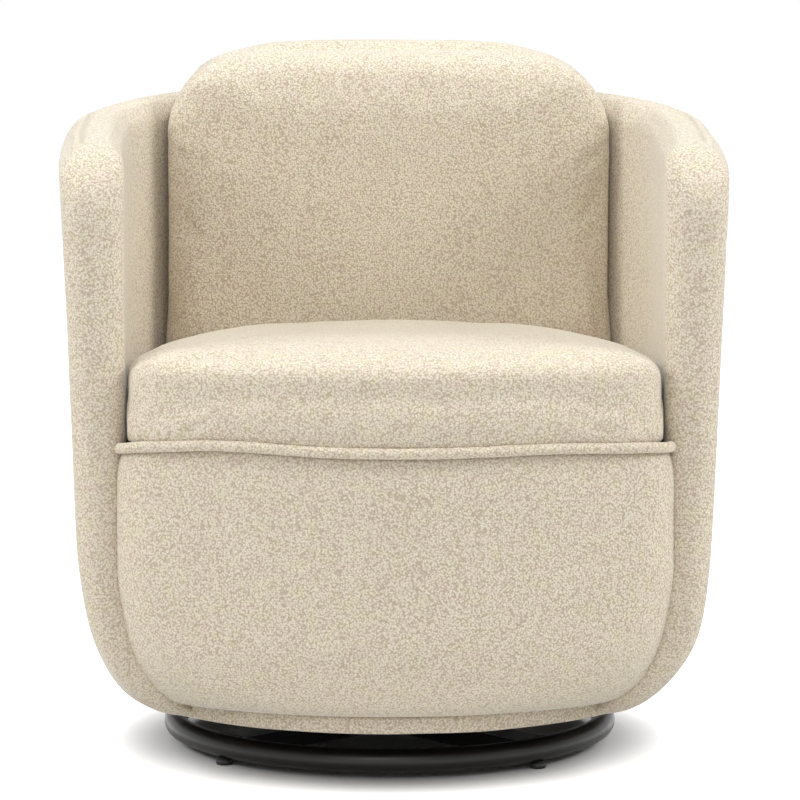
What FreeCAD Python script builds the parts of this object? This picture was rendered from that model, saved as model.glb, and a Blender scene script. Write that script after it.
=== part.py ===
import FreeCAD, Part
import math
import os
import Sketcher
from FreeCAD import Rotation, Vector

# Swivel armchair: an upholstered barrel shell, back pillow and seat on a round tube base.
# Millimetres and degrees. +Z is up, the chair faces -Y, and the swivel axis is the Z axis.

doc = FreeCAD.newDocument("swivel_armchair")

# Driving sizes. Each row is an alias, its value and what it measures.
SIZES = (
    ("ring_radius", 237.5, "base ring, centre line of the tube"),
    ("ring_tube_radius", 12.5, "base ring, tube outside"),
    ("ring_sides", 8, "flats that stand for the round of the ring tube"),
    ("arm_turn", 40.4, "long cross bar, angle from the X axis"),
    ("bar_width", 40, "cross bars, width of the section"),
    ("bar_depth", 20, "cross bars, height of the section"),
    ("bar_wall", 2, "cross bars, wall of the tube"),
    ("glide_radius", 9, "floor glide"),
    ("glide_thickness", 8, "floor glide, under the ring"),
    ("hub_width", 150, "hub plate welded on the cross bars"),
    ("hub_thickness", 4, "hub plate"),
    ("race_width", 220, "bearing plates, square"),
    ("race_inner_radius", 45, "bearing plates, centre opening of the lower one"),
    ("race_thickness", 4, "bearing plates"),
    ("track_radius", 100, "ball track, centre line"),
    ("ball_radius", 4, "bearing balls"),
    ("ball_play", 0.05, "bearing balls, play in the track"),
    ("ball_count", 10, "bearing balls"),
    ("round_flats", 8, "flats that stand for the round of balls, rivets, bolts and washers"),
    ("race_gap", 4, "gap between the two bearing plates"),
    ("cage_half_width", 8, "ball cage, half width of its band"),
    ("cage_thickness", 1.6, "ball cage"),
    ("cage_flats", 20, "flats that stand for the round of the ball cage"),
    ("rivet_circle", 62, "rivets that hold the lower bearing plate"),
    ("rivet_radius", 3, "rivet shank"),
    ("rivet_head_radius", 5.5, "rivet head"),
    ("rivet_head_height", 1.6, "rivet head"),
    ("pivot_radius", 6, "pivot bolt, shank"),
    ("pivot_head_radius", 11, "pivot bolt, head"),
    ("pivot_head_height", 5, "pivot bolt, head"),
    ("pivot_clearance", 0.05, "pivot bolt in its bushing"),
    ("bushing_wall", 3, "pivot bushing"),
    ("bushing_height", 6, "pivot bushing"),
    ("pivot_nut_height", 6, "pivot nut"),
    ("pivot_nut_radius", 10.4, "pivot nut, over its corners"),
    ("washer_thickness", 1.6, "plain washers"),
    ("bolt_spacing", 84, "mounting bolts, half the spacing of the square"),
    ("bolt_radius", 4, "mounting bolt, shank"),
    ("bolt_head_radius", 6.5, "mounting bolt, head"),
    ("bolt_head_height", 1.9, "mounting bolt, low head"),
    ("tee_flange_radius", 11, "tee nut, flange"),
    ("tee_flange_height", 1.6, "tee nut, flange"),
    ("tee_barrel_radius", 5.5, "tee nut, barrel"),
    ("tee_barrel_height", 9, "tee nut, barrel"),
    ("batten_length", 280, "mounting batten"),
    ("batten_width", 50, "mounting batten"),
    ("underside_height", 60, "lowest edge of the upholstery above the floor"),
    ("panel_thickness", 15, "bottom panel, plywood"),
    ("panel_inset", 30, "bottom panel, how far it stays inside the shell"),
    ("panel_hole", 45, "bottom panel, centre hole over the pivot bolt"),
    ("panel_flats", 32, "flats that stand for the round of the bottom panel and the band"),
    ("rib_thickness", 18, "horseshoe ribs and posts, plywood"),
    ("frame_width", 24, "horseshoe ribs and posts, across the wall"),
    ("lower_post_width", 60, "lower posts, across the wall"),
    ("back_post_turn", 52, "posts on either side of the middle of the back, degrees from it"),
    ("side_post_reach", 10, "side posts, in front of the swivel axis"),
    ("front_post_reach", 235, "posts in the arms, in front of the swivel axis"),
    ("lower_front_post_reach", 180, "lower front posts, in front of the swivel axis"),
    ("arm_rib_height", 446, "underside of the rib at arm height"),
    ("frame_play", 0.2, "clearance between the frame and the outer board"),
    ("board_thickness", 3, "outer board round the frame"),
    ("wadding_thickness", 8, "padding outside the outer board"),
    ("cover_thickness", 2.5, "looped wool cover cloth"),
    ("dust_cover_inset", 12, "cloth under the chair, inside the edge of the bottom panel"),
    ("dust_cover_thickness", 1, "cloth under the chair"),
    ("body_radius", 355, "shell, outer radius of the back at the rim"),
    ("body_centre", 11, "shell, centre of the back arc along Y"),
    ("body_taper", 0.036, "shell, lean of the outer face per millimetre of height"),
    ("wall_thickness", 66, "shell wall, its thickness at the rim"),
    ("arm_taper", 13, "shell, how far each arm closes in at its front"),
    ("arm_front", 292, "shell, front of the arms"),
    ("arm_corner", 24, "shell, rounding of the front edges"),
    ("least_corner", 0.8, "shell, least rounding of the front edges of its inner layers"),
    ("rim_height", 690, "shell, top of the rim beside the swivel axis"),
    ("rim_tilt", 4.3, "shell, rise of the rim towards the back, degrees"),
    ("rim_round", 28, "shell, rounding of the rim"),
    ("rim_padding", 40, "shell, padding above the rim rib"),
    ("end_padding", 30, "shell, padding in front of the arm frames"),
    ("back_chords", 7, "shell, chords that stand for a quarter turn of the back"),
    ("corner_chords", 3, "shell, chords that stand for the rounding of a front edge"),
    ("tuck_height", 260, "shell, where the lower part starts to round under"),
    ("tuck_side", 46, "shell, how far the sides and back round under"),
    ("tuck_corner", 112, "shell, how far the front ends close in at the bottom"),
    ("tuck_front", 97, "shell, how far the front ends set back at the bottom"),
    ("seat_block_height", 92, "seat, top of its front edge above the piping"),
    ("seat_crown", 10, "seat, rise of the middle above the front edge"),
    ("seat_front", 366, "seat and front pad, reach in front of the swivel axis"),
    ("seat_side_gap", 10, "seat, its sides inside the inner radius of the shell"),
    ("seat_corner", 62, "seat and front pad, corner radius seen from above"),
    ("seat_front_bow", 800, "seat and front pad, radius of the bowed front"),
    ("seat_back", 135, "seat, its back edge under the front of the pillow"),
    ("seat_side_bow", 8, "seat, bow of its sides"),
    ("seat_round", 20, "seat, rounding of the top edges"),
    ("seat_back_fall", 13, "seat, how far the crown drops towards the pillow"),
    ("seat_side_fall", 25, "seat, how far its sides drop towards the pillow"),
    ("seat_crown_width", 150, "seat, how far in from the edge the crown rises"),
    ("welt_height", 361, "piping between the seat and the front pad"),
    ("welt_radius", 5.8, "piping"),
    ("welt_overhang", 7, "piping, its centre line outside the sides of the seat"),
    ("welt_inset", 3, "piping, its centre line inside the front of the seat"),
    ("welt_end", 262, "piping, its ends in front of the swivel axis"),
    ("pad_overhang", 11, "front pad, its sides outside the sides of the seat"),
    ("pad_side_tuck", 6, "front pad, how far its sides close in at the bottom"),
    ("pad_tuck_height", 230, "front pad, where its corners start to round under"),
    ("pad_tuck_radius", 100, "front pad, radius of the front rounding under"),
    ("pad_round_height", 170, "front pad, where its front starts to round under"),
    ("pad_bottom_corner", 222, "front pad, corner radius at the bottom"),
    ("pad_bottom_bow", 320, "front pad, radius of the front at the bottom"),
    ("pad_back", 200, "front pad, ends of its sides in front of the swivel axis"),
    ("pad_depth", 30, "front pad, thickness of its sides"),
    ("band_height", 19, "band along the lower edge of the front pad"),
    ("band_reach", 190, "band, its ends in front of the swivel axis"),
    ("band_depth", 19, "band, how far it stands out from the bottom panel"),
    ("front_pad_depth", 115, "front pad, from the front board to its foremost point"),
    ("front_board_thickness", 6, "front board behind the pad"),
    ("front_board_side_gap", 62, "front board behind the pad, its ends inside the side rails"),
    ("rail_thickness", 22, "seat rails"),
    ("rail_depth", 60, "seat rails, height"),
    ("rail_side_gap", 37, "seat rails, their outer faces inside the inner radius of the shell"),
    ("rail_back_gap", 0.5, "back rail, its corners short of the inner radius of the shell"),
    ("deck_end_padding", 37, "padding in front of the hollow under the seat"),
    ("deck_clearance", 5, "hollow under the seat, above the rails and into the frame"),
    ("leg_width", 44, "seat legs and corner blocks"),
    ("leg_spacing", 85, "seat legs, half their spacing"),
    ("leg_edge_gap", 12, "seat legs, least distance of their front corners from the edge of the bottom panel"),
    ("webbing_width", 60, "elastic webbing"),
    ("webbing_thickness", 2, "elastic webbing"),
    ("webbing_long", 5, "webbing straps from front to back"),
    ("webbing_cross", 4, "webbing straps from side to side"),
    ("felt_thickness", 4, "felt pad between webbing and seat foam"),
    ("topper_thickness", 26, "soft top layer of the seat"),
    ("pillow_height", 760, "back pillow, top"),
    ("pillow_side_gap", 32, "back pillow, its sides inside the inner radius of the shell"),
    ("pillow_corner", 100, "back pillow, top corners seen from the front"),
    ("pillow_front", 120, "back pillow, front face behind the swivel axis"),
    ("pillow_crown", 9, "back pillow, bulge of the front face"),
    ("pillow_edge", 38, "back pillow, rounding of the top edge"),
    ("pillow_side_corner", 16, "back pillow, rounding of the front side edges at the seat"),
    ("pillow_top_corner", 34, "back pillow, rounding of the front side edges at the top"),
    ("pillow_overhang", 8, "back pillow, how far its back stands over the rim"),
    ("soft_gap", 0.3, "clearance between neighbouring soft pieces"),
)

sheet = doc.addObject("Spreadsheet::Sheet", "sizes")
for row, (alias, value, meaning) in enumerate(SIZES, start=1):
    sheet.set(f"A{row}", meaning)
    sheet.set(f"B{row}", str(value))
    sheet.setAlias(f"B{row}", alias)
doc.recompute()

# Heights above the floor, and radii and half widths, that follow from the driving sizes.
LEVELS = (
    ("ring", "sizes.glide_thickness + sizes.ring_tube_radius", "centre of the ring tube"),
    ("bar_bottom", "ring - sizes.bar_depth / 2", "underside of the cross bars"),
    ("bar_top", "ring + sizes.bar_depth / 2", "top of the cross bars"),
    ("hub_top", "bar_top + sizes.hub_thickness", "top of the hub plate"),
    ("lower_race_top", "hub_top + sizes.race_thickness", "top of the lower bearing plate"),
    ("ball", "lower_race_top + sizes.race_gap / 2", "centre of the bearing balls"),
    ("upper_race_bottom", "lower_race_top + sizes.race_gap", "underside of the upper bearing plate"),
    ("upper_race_top", "upper_race_bottom + sizes.race_thickness", "top of the upper bearing plate"),
    ("panel_bottom", "sizes.underside_height + 2 * sizes.dust_cover_thickness",
     "underside of the bottom panel"),
    ("panel_top", "panel_bottom + sizes.panel_thickness", "top of the bottom panel"),
    ("rail_top", "sizes.welt_height - sizes.felt_thickness - 2 * sizes.webbing_thickness",
     "top of the rails"),
    ("rail_bottom", "rail_top - sizes.rail_depth", "underside of the rails, top of the deck board"),
    ("deck_bottom", "rail_bottom - sizes.rib_thickness", "underside of the deck board"),
    ("rim_rib_top", "sizes.rim_height - sizes.rim_padding", "top of the rim rib"),
    ("seat_height", "sizes.welt_height + sizes.seat_block_height", "top of the front edge of the seat"),
    ("inner_radius", "sizes.body_radius - sizes.wall_thickness", "inner radius of the shell"),
    ("panel_radius", "sizes.body_radius - sizes.tuck_side - sizes.panel_inset", "radius of the bottom panel"),
    ("band_radius", "panel_radius + sizes.band_depth", "outer radius of the band"),
    ("seat_half_width", "inner_radius - sizes.seat_side_gap", "half width of the seat"),
    ("welt_half_width", "seat_half_width + sizes.welt_overhang", "half width of the piping's centre line"),
    ("pad_half_width", "seat_half_width + sizes.pad_overhang", "half width of the front pad"),
    ("pillow_half_width", "inner_radius - sizes.pillow_side_gap", "half width of the back pillow"),
    ("rail_half_width", "inner_radius - sizes.rail_side_gap", "half width over the side rails"),
    ("board_front", "sizes.seat_front - sizes.front_pad_depth - sizes.front_board_thickness",
     "front face of the front rail"),
    ("leg_front", "min(board_front; sqrt(panel_radius ^ 2 - (sizes.leg_spacing + sizes.leg_width / 2) ^ 2)"
     " - sizes.leg_edge_gap)", "front face of the seat legs"),
    ("front_board_half_width", "rail_half_width - sizes.front_board_side_gap",
     "half width of the front board"),
    ("rail_back", "sizes.body_centre + sqrt(inner_radius ^ 2 - rail_half_width ^ 2) - sizes.rail_back_gap",
     "back face of the back rail"),
)

levels = doc.addObject("Spreadsheet::Sheet", "levels")
for row, (alias, formula, meaning) in enumerate(LEVELS, start=1):
    levels.set(f"A{row}", meaning)
    levels.set(f"B{row}", "=" + formula)
    levels.setAlias(f"B{row}", alias)
    doc.recompute()


class Numbers:
    """The cells of one sheet as plain numbers."""

    def __init__(self, source, rows):
        for alias, _, _ in rows:
            setattr(self, alias, float(source.get(alias)))


size = Numbers(sheet, SIZES)
level = Numbers(levels, LEVELS)
subparts = []


def finished(label, item):
    """Names an object as one sub-part of the chair."""
    item.Label = label
    subparts.append(item)
    return item


def bound(item, expressions):
    for path, expression in expressions.items():
        item.setExpression(path, expression)
    return item


def place(x="0", y="0", z="0"):
    return {"Placement.Base.x": x, "Placement.Base.y": y, "Placement.Base.z": z}


def cylinder(name, radius, height, **position):
    item = doc.addObject("Part::Cylinder", name)
    return bound(item, {"Radius": radius, "Height": height, **place(**position)})


def many_sided(name, flats, radius, height, **position):
    """A round piece drawn with flats, so that it stays light."""
    item = doc.addObject("Part::Prism", name)
    return bound(item,
                 {"Polygon": flats, "Circumradius": f"({radius}) / cos(180 / {flats})", "Height": height,
                        **place(**position)})


def small_round(name, radius, height, **position):
    return many_sided(name, "sizes.round_flats", radius, height, **position)


def block(name, length, width, height, **corner):
    item = doc.addObject("Part::Box", name)
    return bound(item, {"Length": length, "Width": width, "Height": height, **place(**corner)})


def fused(name, items):
    item = doc.addObject("Part::MultiFuse", name)
    item.Shapes = items
    return item


def cut(name, base, tool):
    item = doc.addObject("Part::Cut", name)
    item.Base = base
    item.Tool = tool
    return item


def shared(name, items):
    item = doc.addObject("Part::MultiCommon", name)
    item.Shapes = items
    return item


def grouped(name, items):
    item = doc.addObject("Part::Compound", name)
    item.Links = items
    return item


def polar(circle, angle):
    """Expressions for the x and y of a point on a circle round the swivel axis."""
    return {"x": f"{circle} * cos({angle})", "y": f"{circle} * sin({angle})"}


def new_body(label):
    return finished(label, doc.addObject("PartDesign::Body", label))


def new_sketch(body, name, role, offset="0"):
    sketch = body.newObject("Sketcher::SketchObject", name)
    plane = next(item for item in body.Origin.OriginFeatures if item.Role == role)
    sketch.AttachmentSupport = (plane, [""])
    sketch.MapMode = "FlatFace"
    sketch.setExpression("AttachmentOffset.Base.z", offset)
    return sketch


def add_outline(sketch, corners):
    """A closed outline of straight lines; each corner is a pair of expressions, x and y."""
    count = len(corners)
    start = [Vector(20 + 10 * math.cos(2 * math.pi * k / count), 20 + 10 * math.sin(2 * math.pi * k / count),
                    0)
             for k in range(count)]
    for k in range(count):
        sketch.addGeometry(Part.LineSegment(start[k], start[(k + 1) % count]), False)
    for k, (x, y) in enumerate(corners):
        sketch.addConstraint(Sketcher.Constraint("Coincident", k - 1 if k else count - 1, 2, k, 1))
        for kind, expression in (("DistanceX", x), ("DistanceY", y)):
            rule = sketch.addConstraint(Sketcher.Constraint(kind, -1, 1, k, 1, 20))
            sketch.setExpression(f"Constraints[{rule}]", expression)


def add_pad(body, sketch, length):
    pad = body.newObject("PartDesign::Pad", sketch.Name + "_pad")
    pad.Profile = sketch
    pad.setExpression("Length", length)
    return pad


def plank(label, half_width, front, back, bottom, height):
    """A flat board symmetrical about the YZ plane, as a sketch of its outline and a pad."""
    body = new_body(label)
    sketch = new_sketch(body, label + "_outline", "XY_Plane", bottom)
    add_outline(sketch, [(f"-({half_width})", front), (half_width, front), (half_width, back),
                         (f"-({half_width})", back)])
    add_pad(body, sketch, height)
    return body


def turned_block(name, length, width, height, angle, z):
    """A block centred on the swivel axis and turned about it."""
    item = doc.addObject("Part::Box", name)
    along, across = f"({length}) / 2", f"({width}) / 2"
    return bound(item, {
        "Length": length, "Width": width, "Height": height,
        "Placement.Rotation.Angle": angle,
        "Placement.Base.x": f"{across} * sin({angle}) - {along} * cos({angle})",
        "Placement.Base.y": f"-{across} * cos({angle}) - {along} * sin({angle})",
        "Placement.Base.z": z,
    })


QUARTERS = (0, 90, 180, 270)


def make_base_ring():
    """Bent steel tube, drawn with a many-sided section turned about the swivel axis."""
    section = doc.addObject("Part::RegularPolygon", "ring_section")
    bound(section, {
        "Polygon": "sizes.ring_sides",
        "Circumradius": "sizes.ring_tube_radius / cos(180 / sizes.ring_sides)",
        "Placement.Base.x": "sizes.ring_radius",
        "Placement.Base.z": "levels.ring",
    })
    flat_below = Rotation(Vector(0, 0, 1), 270 + 180 / size.ring_sides)
    section.Placement.Rotation = Rotation(Vector(1, 0, 0), 90) * flat_below
    tube = doc.addObject("Part::Revolution", "ring_tube")
    tube.Source = section
    tube.Axis = (0, 0, 1)
    tube.Angle = 360
    tube.Solid = True
    return finished("base_ring", tube)


def make_floor_glides():
    """Plastic pads under the ring, below the ends of the cross bars."""
    glides = [
        small_round(f"glide_{turn}", "sizes.glide_radius", "sizes.glide_thickness",
                 **polar("sizes.ring_radius", f"sizes.arm_turn + {turn}"))
        for turn in QUARTERS
    ]
    finished("floor_glides", grouped("floor_glides", glides))


def make_cross_bars(ring):
    """One long bar and two short ones, rectangular tubes coped to the ring and welded."""
    length = "2 * sizes.ring_radius"
    bore = small_round("bar_bore", "sizes.pivot_radius", "2 * sizes.bar_depth",
                       z="levels.bar_bottom - sizes.bar_depth / 2")
    for label, angle in (("long_cross_bar", "sizes.arm_turn"), ("short_cross_bars", "sizes.arm_turn + 90")):
        outside = turned_block(label + "_outside", length, "sizes.bar_width", "sizes.bar_depth", angle,
                               "levels.bar_bottom")
        inside = turned_block(label + "_inside", length + " + 2", "sizes.bar_width - 2 * sizes.bar_wall",
                              "sizes.bar_depth - 2 * sizes.bar_wall", angle,
                              "levels.bar_bottom + sizes.bar_wall")
        tube = cut(label + "_tube", outside, inside)
        if label == "long_cross_bar":
            long_envelope = outside
            finished(label, cut(label, tube, fused("long_bar_cuts", [ring, bore])))
        else:
            finished(label, cut(label, tube, fused("short_bar_cuts", [ring, long_envelope])))


def make_hub_plate():
    """Square plate welded on the crossed bars, with holes for the pivot bolt and the rivets."""
    plate = turned_block("hub_blank", "sizes.hub_width", "sizes.hub_width", "sizes.hub_thickness",
                         "sizes.arm_turn",
                         "levels.bar_top")
    holes = [small_round("hub_bore", "sizes.pivot_radius", "3 * sizes.hub_thickness",
                         z="levels.bar_top - sizes.hub_thickness")]
    holes += [rivet_hole(f"hub_hole_{turn}", turn) for turn in QUARTERS]
    finished("hub_plate", cut("hub_plate", plate, fused("hub_holes", holes)))


def rivet_hole(name, turn):
    return small_round(name, "sizes.rivet_radius", "30", z="levels.bar_top - 10",
                       **polar("sizes.rivet_circle", f"sizes.arm_turn + 45 + {turn}"))


def make_track(name, face, direction):
    """The V groove of a bearing plate as a turned solid; direction is 1 where it opens upwards."""
    reach = (size.ball_radius + size.ball_play) * math.sqrt(2)
    depth = reach - size.race_gap / 2
    section = Part.makePolygon([
        Vector(size.track_radius - depth - 1, 0, face + direction),
        Vector(size.track_radius, 0, face - direction * depth),
        Vector(size.track_radius + depth + 1, 0, face + direction),
        Vector(size.track_radius - depth - 1, 0, face + direction),
    ])
    item = doc.addObject("Part::Feature", name)
    item.Shape = Part.Face(section).revolve(Vector(0, 0, 0), Vector(0, 0, 1), 360)
    return item


def make_lower_race():
    """Lower plate of the ball bearing, riveted on the hub plate."""
    plate = turned_block("lower_race_blank", "sizes.race_width", "sizes.race_width", "sizes.race_thickness",
                         "sizes.arm_turn", "levels.hub_top")
    cuts = [make_track("lower_track", level.lower_race_top, 1),
            small_round("lower_race_bore", "sizes.race_inner_radius", "30", z="levels.hub_top - 10")]
    cuts += [rivet_hole(f"lower_race_hole_{turn}", turn) for turn in QUARTERS]
    finished("lower_race", cut("lower_race", plate, fused("lower_race_cuts", cuts)))


def make_rivets():
    """Rivets through the hub plate and the lower bearing plate, between the cross bars."""
    rivets = []
    for turn in QUARTERS:
        spot = polar("sizes.rivet_circle", f"sizes.arm_turn + 45 + {turn}")
        shank = small_round(f"rivet_shank_{turn}", "sizes.rivet_radius",
                            "sizes.hub_thickness + sizes.race_thickness",
                            z="levels.bar_top", **spot)
        foot = small_round(f"rivet_foot_{turn}", "sizes.rivet_head_radius", "sizes.rivet_head_height",
                           z="levels.bar_top - sizes.rivet_head_height", **spot)
        head = small_round(f"rivet_head_{turn}", "sizes.rivet_head_radius", "sizes.rivet_head_height",
                           z="levels.lower_race_top", **spot)
        rivets.append(fused(f"rivet_{turn}", [shank, foot, head]))
    finished("race_rivets", grouped("race_rivets", rivets))


def make_pivot():
    """Centre bolt that keeps the two bearing plates together, its washers, nut and bushing."""
    bushing_top = "levels.upper_race_bottom + sizes.bushing_height"
    head_bottom = f"{bushing_top} + sizes.washer_thickness + sizes.pivot_clearance"
    nut_top = "levels.bar_bottom - sizes.washer_thickness"
    lower_shank = small_round("pivot_lower_shank", "sizes.pivot_radius",
                              f"levels.hub_top - ({nut_top} - sizes.pivot_nut_height)",
                              z=f"{nut_top} - sizes.pivot_nut_height")
    shank = cylinder("pivot_shank", "sizes.pivot_radius", f"{head_bottom} - levels.hub_top",
                     z="levels.hub_top")
    head = small_round("pivot_head", "sizes.pivot_head_radius", "sizes.pivot_head_height", z=head_bottom)
    finished("pivot_bolt", fused("pivot_bolt", [lower_shank, shank, head]))

    nut = small_round("nut_blank", "sizes.pivot_nut_radius", "sizes.pivot_nut_height",
                      z=f"{nut_top} - sizes.pivot_nut_height")
    finished("pivot_nut", cut("pivot_nut", nut, lower_shank))

    lower = small_round("lower_washer_disc", "sizes.pivot_head_radius", "sizes.washer_thickness", z=nut_top)
    upper = small_round("upper_washer_disc", "sizes.pivot_head_radius", "sizes.washer_thickness",
                        z=f"{bushing_top} + sizes.pivot_clearance")
    washers = [cut("lower_washer", lower, lower_shank), cut("upper_washer", upper, small_round(
        "upper_washer_hole", "sizes.pivot_radius + sizes.pivot_clearance", "3 * sizes.washer_thickness",
        z=f"{bushing_top} - sizes.washer_thickness"))]
    finished("pivot_washers", grouped("pivot_washers", washers))

    barrel = small_round("bushing_barrel", "sizes.pivot_radius + sizes.pivot_clearance + sizes.bushing_wall",
                         "sizes.bushing_height", z="levels.upper_race_bottom")
    bore = cylinder("bushing_bore", "sizes.pivot_radius + sizes.pivot_clearance", "3 * sizes.bushing_height",
                    z="levels.upper_race_bottom - sizes.bushing_height")
    finished("pivot_bushing", cut("pivot_bushing", barrel, bore))
    return barrel


def ball_shape():
    """A ball as a stack of regular outlines."""
    flats = int(size.round_flats)
    steps = flats // 4 + 1
    rings = []
    for k in range(steps + 1):
        latitude = math.pi * (k / steps - 0.5) * 0.8
        radius = size.ball_radius * math.cos(latitude)
        height = size.ball_radius * math.sin(latitude) / math.sin(0.4 * math.pi)
        rings.append([Vector(radius * math.cos(2 * math.pi * j / flats),
                             radius * math.sin(2 * math.pi * j / flats), height)
                      for j in range(flats)])
    return skin(rings)


def make_balls_and_cage():
    """Balls in the track and the flat cage that spaces them, half way between the plates."""
    ball = ball_shape()
    balls = []
    for k in range(int(size.ball_count)):
        copy = ball.copy()
        copy.translate(Vector(size.track_radius, 0, level.ball))
        copy.rotate(Vector(0, 0, 0), Vector(0, 0, 1), 360 * k / size.ball_count)
        balls.append(copy)
    item = doc.addObject("Part::Feature", "bearing_balls")
    item.Shape = Part.makeCompound(balls)
    finished("bearing_balls", item)

    bottom = "levels.ball - sizes.cage_thickness / 2"
    band = many_sided("cage_disc", "sizes.cage_flats", "sizes.track_radius + sizes.cage_half_width",
                      "sizes.cage_thickness", z=bottom)
    centre = many_sided("cage_centre", "sizes.cage_flats", "sizes.track_radius - sizes.cage_half_width",
                        "3 * sizes.cage_thickness",
                        z=f"{bottom} - sizes.cage_thickness")
    pockets = [
        small_round(f"cage_pocket_{k}", "sizes.ball_radius + 2 * sizes.ball_play", "3 * sizes.cage_thickness",
                    z=f"{bottom} - sizes.cage_thickness",
                    **polar("sizes.track_radius", f"360 / sizes.ball_count * {k}"))
        for k in range(int(size.ball_count))
    ]
    finished("ball_cage", cut("ball_cage", band, fused("cage_cuts", [centre, *pockets])))


def make_mounting(bushing):
    """The upper bearing plate, battens over it, and the bolts that hold them to the bottom panel."""
    corners = [(f"{x} * sizes.bolt_spacing", f"{y} * sizes.bolt_spacing") for x in (-1, 1) for y in (-1, 1)]
    drills = fused("bolt_holes", [small_round(f"bolt_hole_{k}", "sizes.bolt_radius", "100", x=x, y=y,
                                              z="levels.upper_race_bottom - 10") for k,
                                              (x, y) in enumerate(corners)])

    plate = block("upper_race_blank", "sizes.race_width", "sizes.race_width", "sizes.race_thickness",
                  x="-sizes.race_width / 2", y="-sizes.race_width / 2", z="levels.upper_race_bottom")
    track = make_track("upper_track", level.upper_race_bottom, -1)
    finished("upper_race", cut("upper_race", plate, fused("upper_race_cuts", [track, drills, bushing])))

    battens = []
    for side in (-1, 1):
        batten = block(f"batten_{side}", "sizes.batten_width", "sizes.batten_length",
                       "levels.panel_bottom - levels.upper_race_top",
                       x=f"{side} * sizes.bolt_spacing - sizes.batten_width / 2",
                       y="-sizes.batten_length / 2", z="levels.upper_race_top")
        battens.append(cut(f"drilled_batten_{side}", batten, drills))
    finished("mounting_battens", grouped("mounting_battens", battens))

    bolts, washers, nuts = [], [], []
    washer_bottom = "levels.upper_race_bottom - sizes.washer_thickness"
    for k, (x, y) in enumerate(corners):
        shank = small_round(f"bolt_shank_{k}", "sizes.bolt_radius", f"levels.panel_top - ({washer_bottom})",
                            x=x, y=y, z=washer_bottom)
        head = small_round(f"bolt_head_{k}", "sizes.bolt_head_radius", "sizes.bolt_head_height", x=x, y=y,
                           z=f"{washer_bottom} - sizes.bolt_head_height")
        bolts.append(fused(f"bolt_{k}", [shank, head]))
        disc = small_round(f"washer_disc_{k}", "sizes.bolt_head_radius + 2", "sizes.washer_thickness", x=x,
                           y=y, z=washer_bottom)
        washers.append(cut(f"washer_{k}", disc, shank))
        barrel = small_round(f"tee_barrel_{k}", "sizes.tee_barrel_radius", "sizes.tee_barrel_height", x=x,
                             y=y,
                             z="levels.panel_top - sizes.tee_barrel_height")
        flange = small_round(f"tee_flange_{k}", "sizes.tee_flange_radius", "sizes.tee_flange_height", x=x,
                             y=y, z="levels.panel_top")
        nuts.append(cut(f"tee_nut_{k}", fused(f"tee_nut_blank_{k}", [barrel, flange]), shank))
    finished("mounting_bolts", grouped("mounting_bolts", bolts))
    finished("mounting_washers", grouped("mounting_washers", washers))
    finished("tee_nuts", grouped("tee_nuts", nuts))

    disc = many_sided("panel_disc", "sizes.panel_flats", "levels.panel_radius", "sizes.panel_thickness",
                      z="levels.panel_bottom")
    hole = small_round("panel_hole", "sizes.panel_hole", "3 * sizes.panel_thickness",
                       z="levels.panel_bottom - sizes.panel_thickness")
    sockets = [small_round(f"tee_socket_{k}", "sizes.tee_barrel_radius", "sizes.tee_barrel_height", x=x, y=y,
                           z="levels.panel_top - sizes.tee_barrel_height") for k,
                           (x, y) in enumerate(corners)]
    finished("bottom_panel", cut("bottom_panel", disc, fused("panel_drills", [drills, hole, *sockets])))
    return disc


def clamp(value):
    return min(max(value, 0.0), 1.0)


def tuck(z, start):
    """How far an upholstered face has rounded under at height z: 0 at the start, 1 at the underside."""
    u = clamp((start - z) / (start - size.underside_height))
    return 1 - math.sqrt(1 - u * u)


def symmetrical(right):
    """A whole outline from the points of its right side."""
    return right + [Vector(-point.x, point.y, point.z) for point in reversed(right) if abs(point.x) > 1e-6]


def sampled(centre, radius, first, last, steps):
    """Points of an arc seen from above, between two angles in radians."""
    angles = [first + (last - first) * k / steps for k in range(steps + 1)]
    return [centre + Vector(radius * math.cos(angle), radius * math.sin(angle), 0) for angle in angles]


def skin(outlines):
    """A solid through a stack of outlines, with flat facets between neighbouring points.

    A twisted facet is split from its lower back point to its upper front one, the same on every layer.
    """
    polygons = [outlines[0], outlines[-1]]
    for low, high in zip(outlines, outlines[1:]):
        for k in range(len(low)):
            a, b, c, d = low[k - 1], low[k], high[k], high[k - 1]
            if abs((b - a).cross(d - a).dot(c - a)) < 1e-4:
                polygons.append([a, b, c, d])
            elif a.y > b.y:
                polygons += [[a, b, c], [a, c, d]]
            else:
                polygons += [[a, b, d], [b, c, d]]
    faces = [Part.Face(Part.makePolygon(polygon + polygon[:1])) for polygon in polygons]
    sewn = Part.makeCompound(faces)
    sewn.sewShape()
    solid = Part.makeSolid(sewn.Shells[0])
    if solid.Volume < 0:
        solid.reverse()
    return solid


def shaped(name, shape):
    item = doc.addObject("Part::Feature", name)
    item.Shape = shape
    return item


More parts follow.
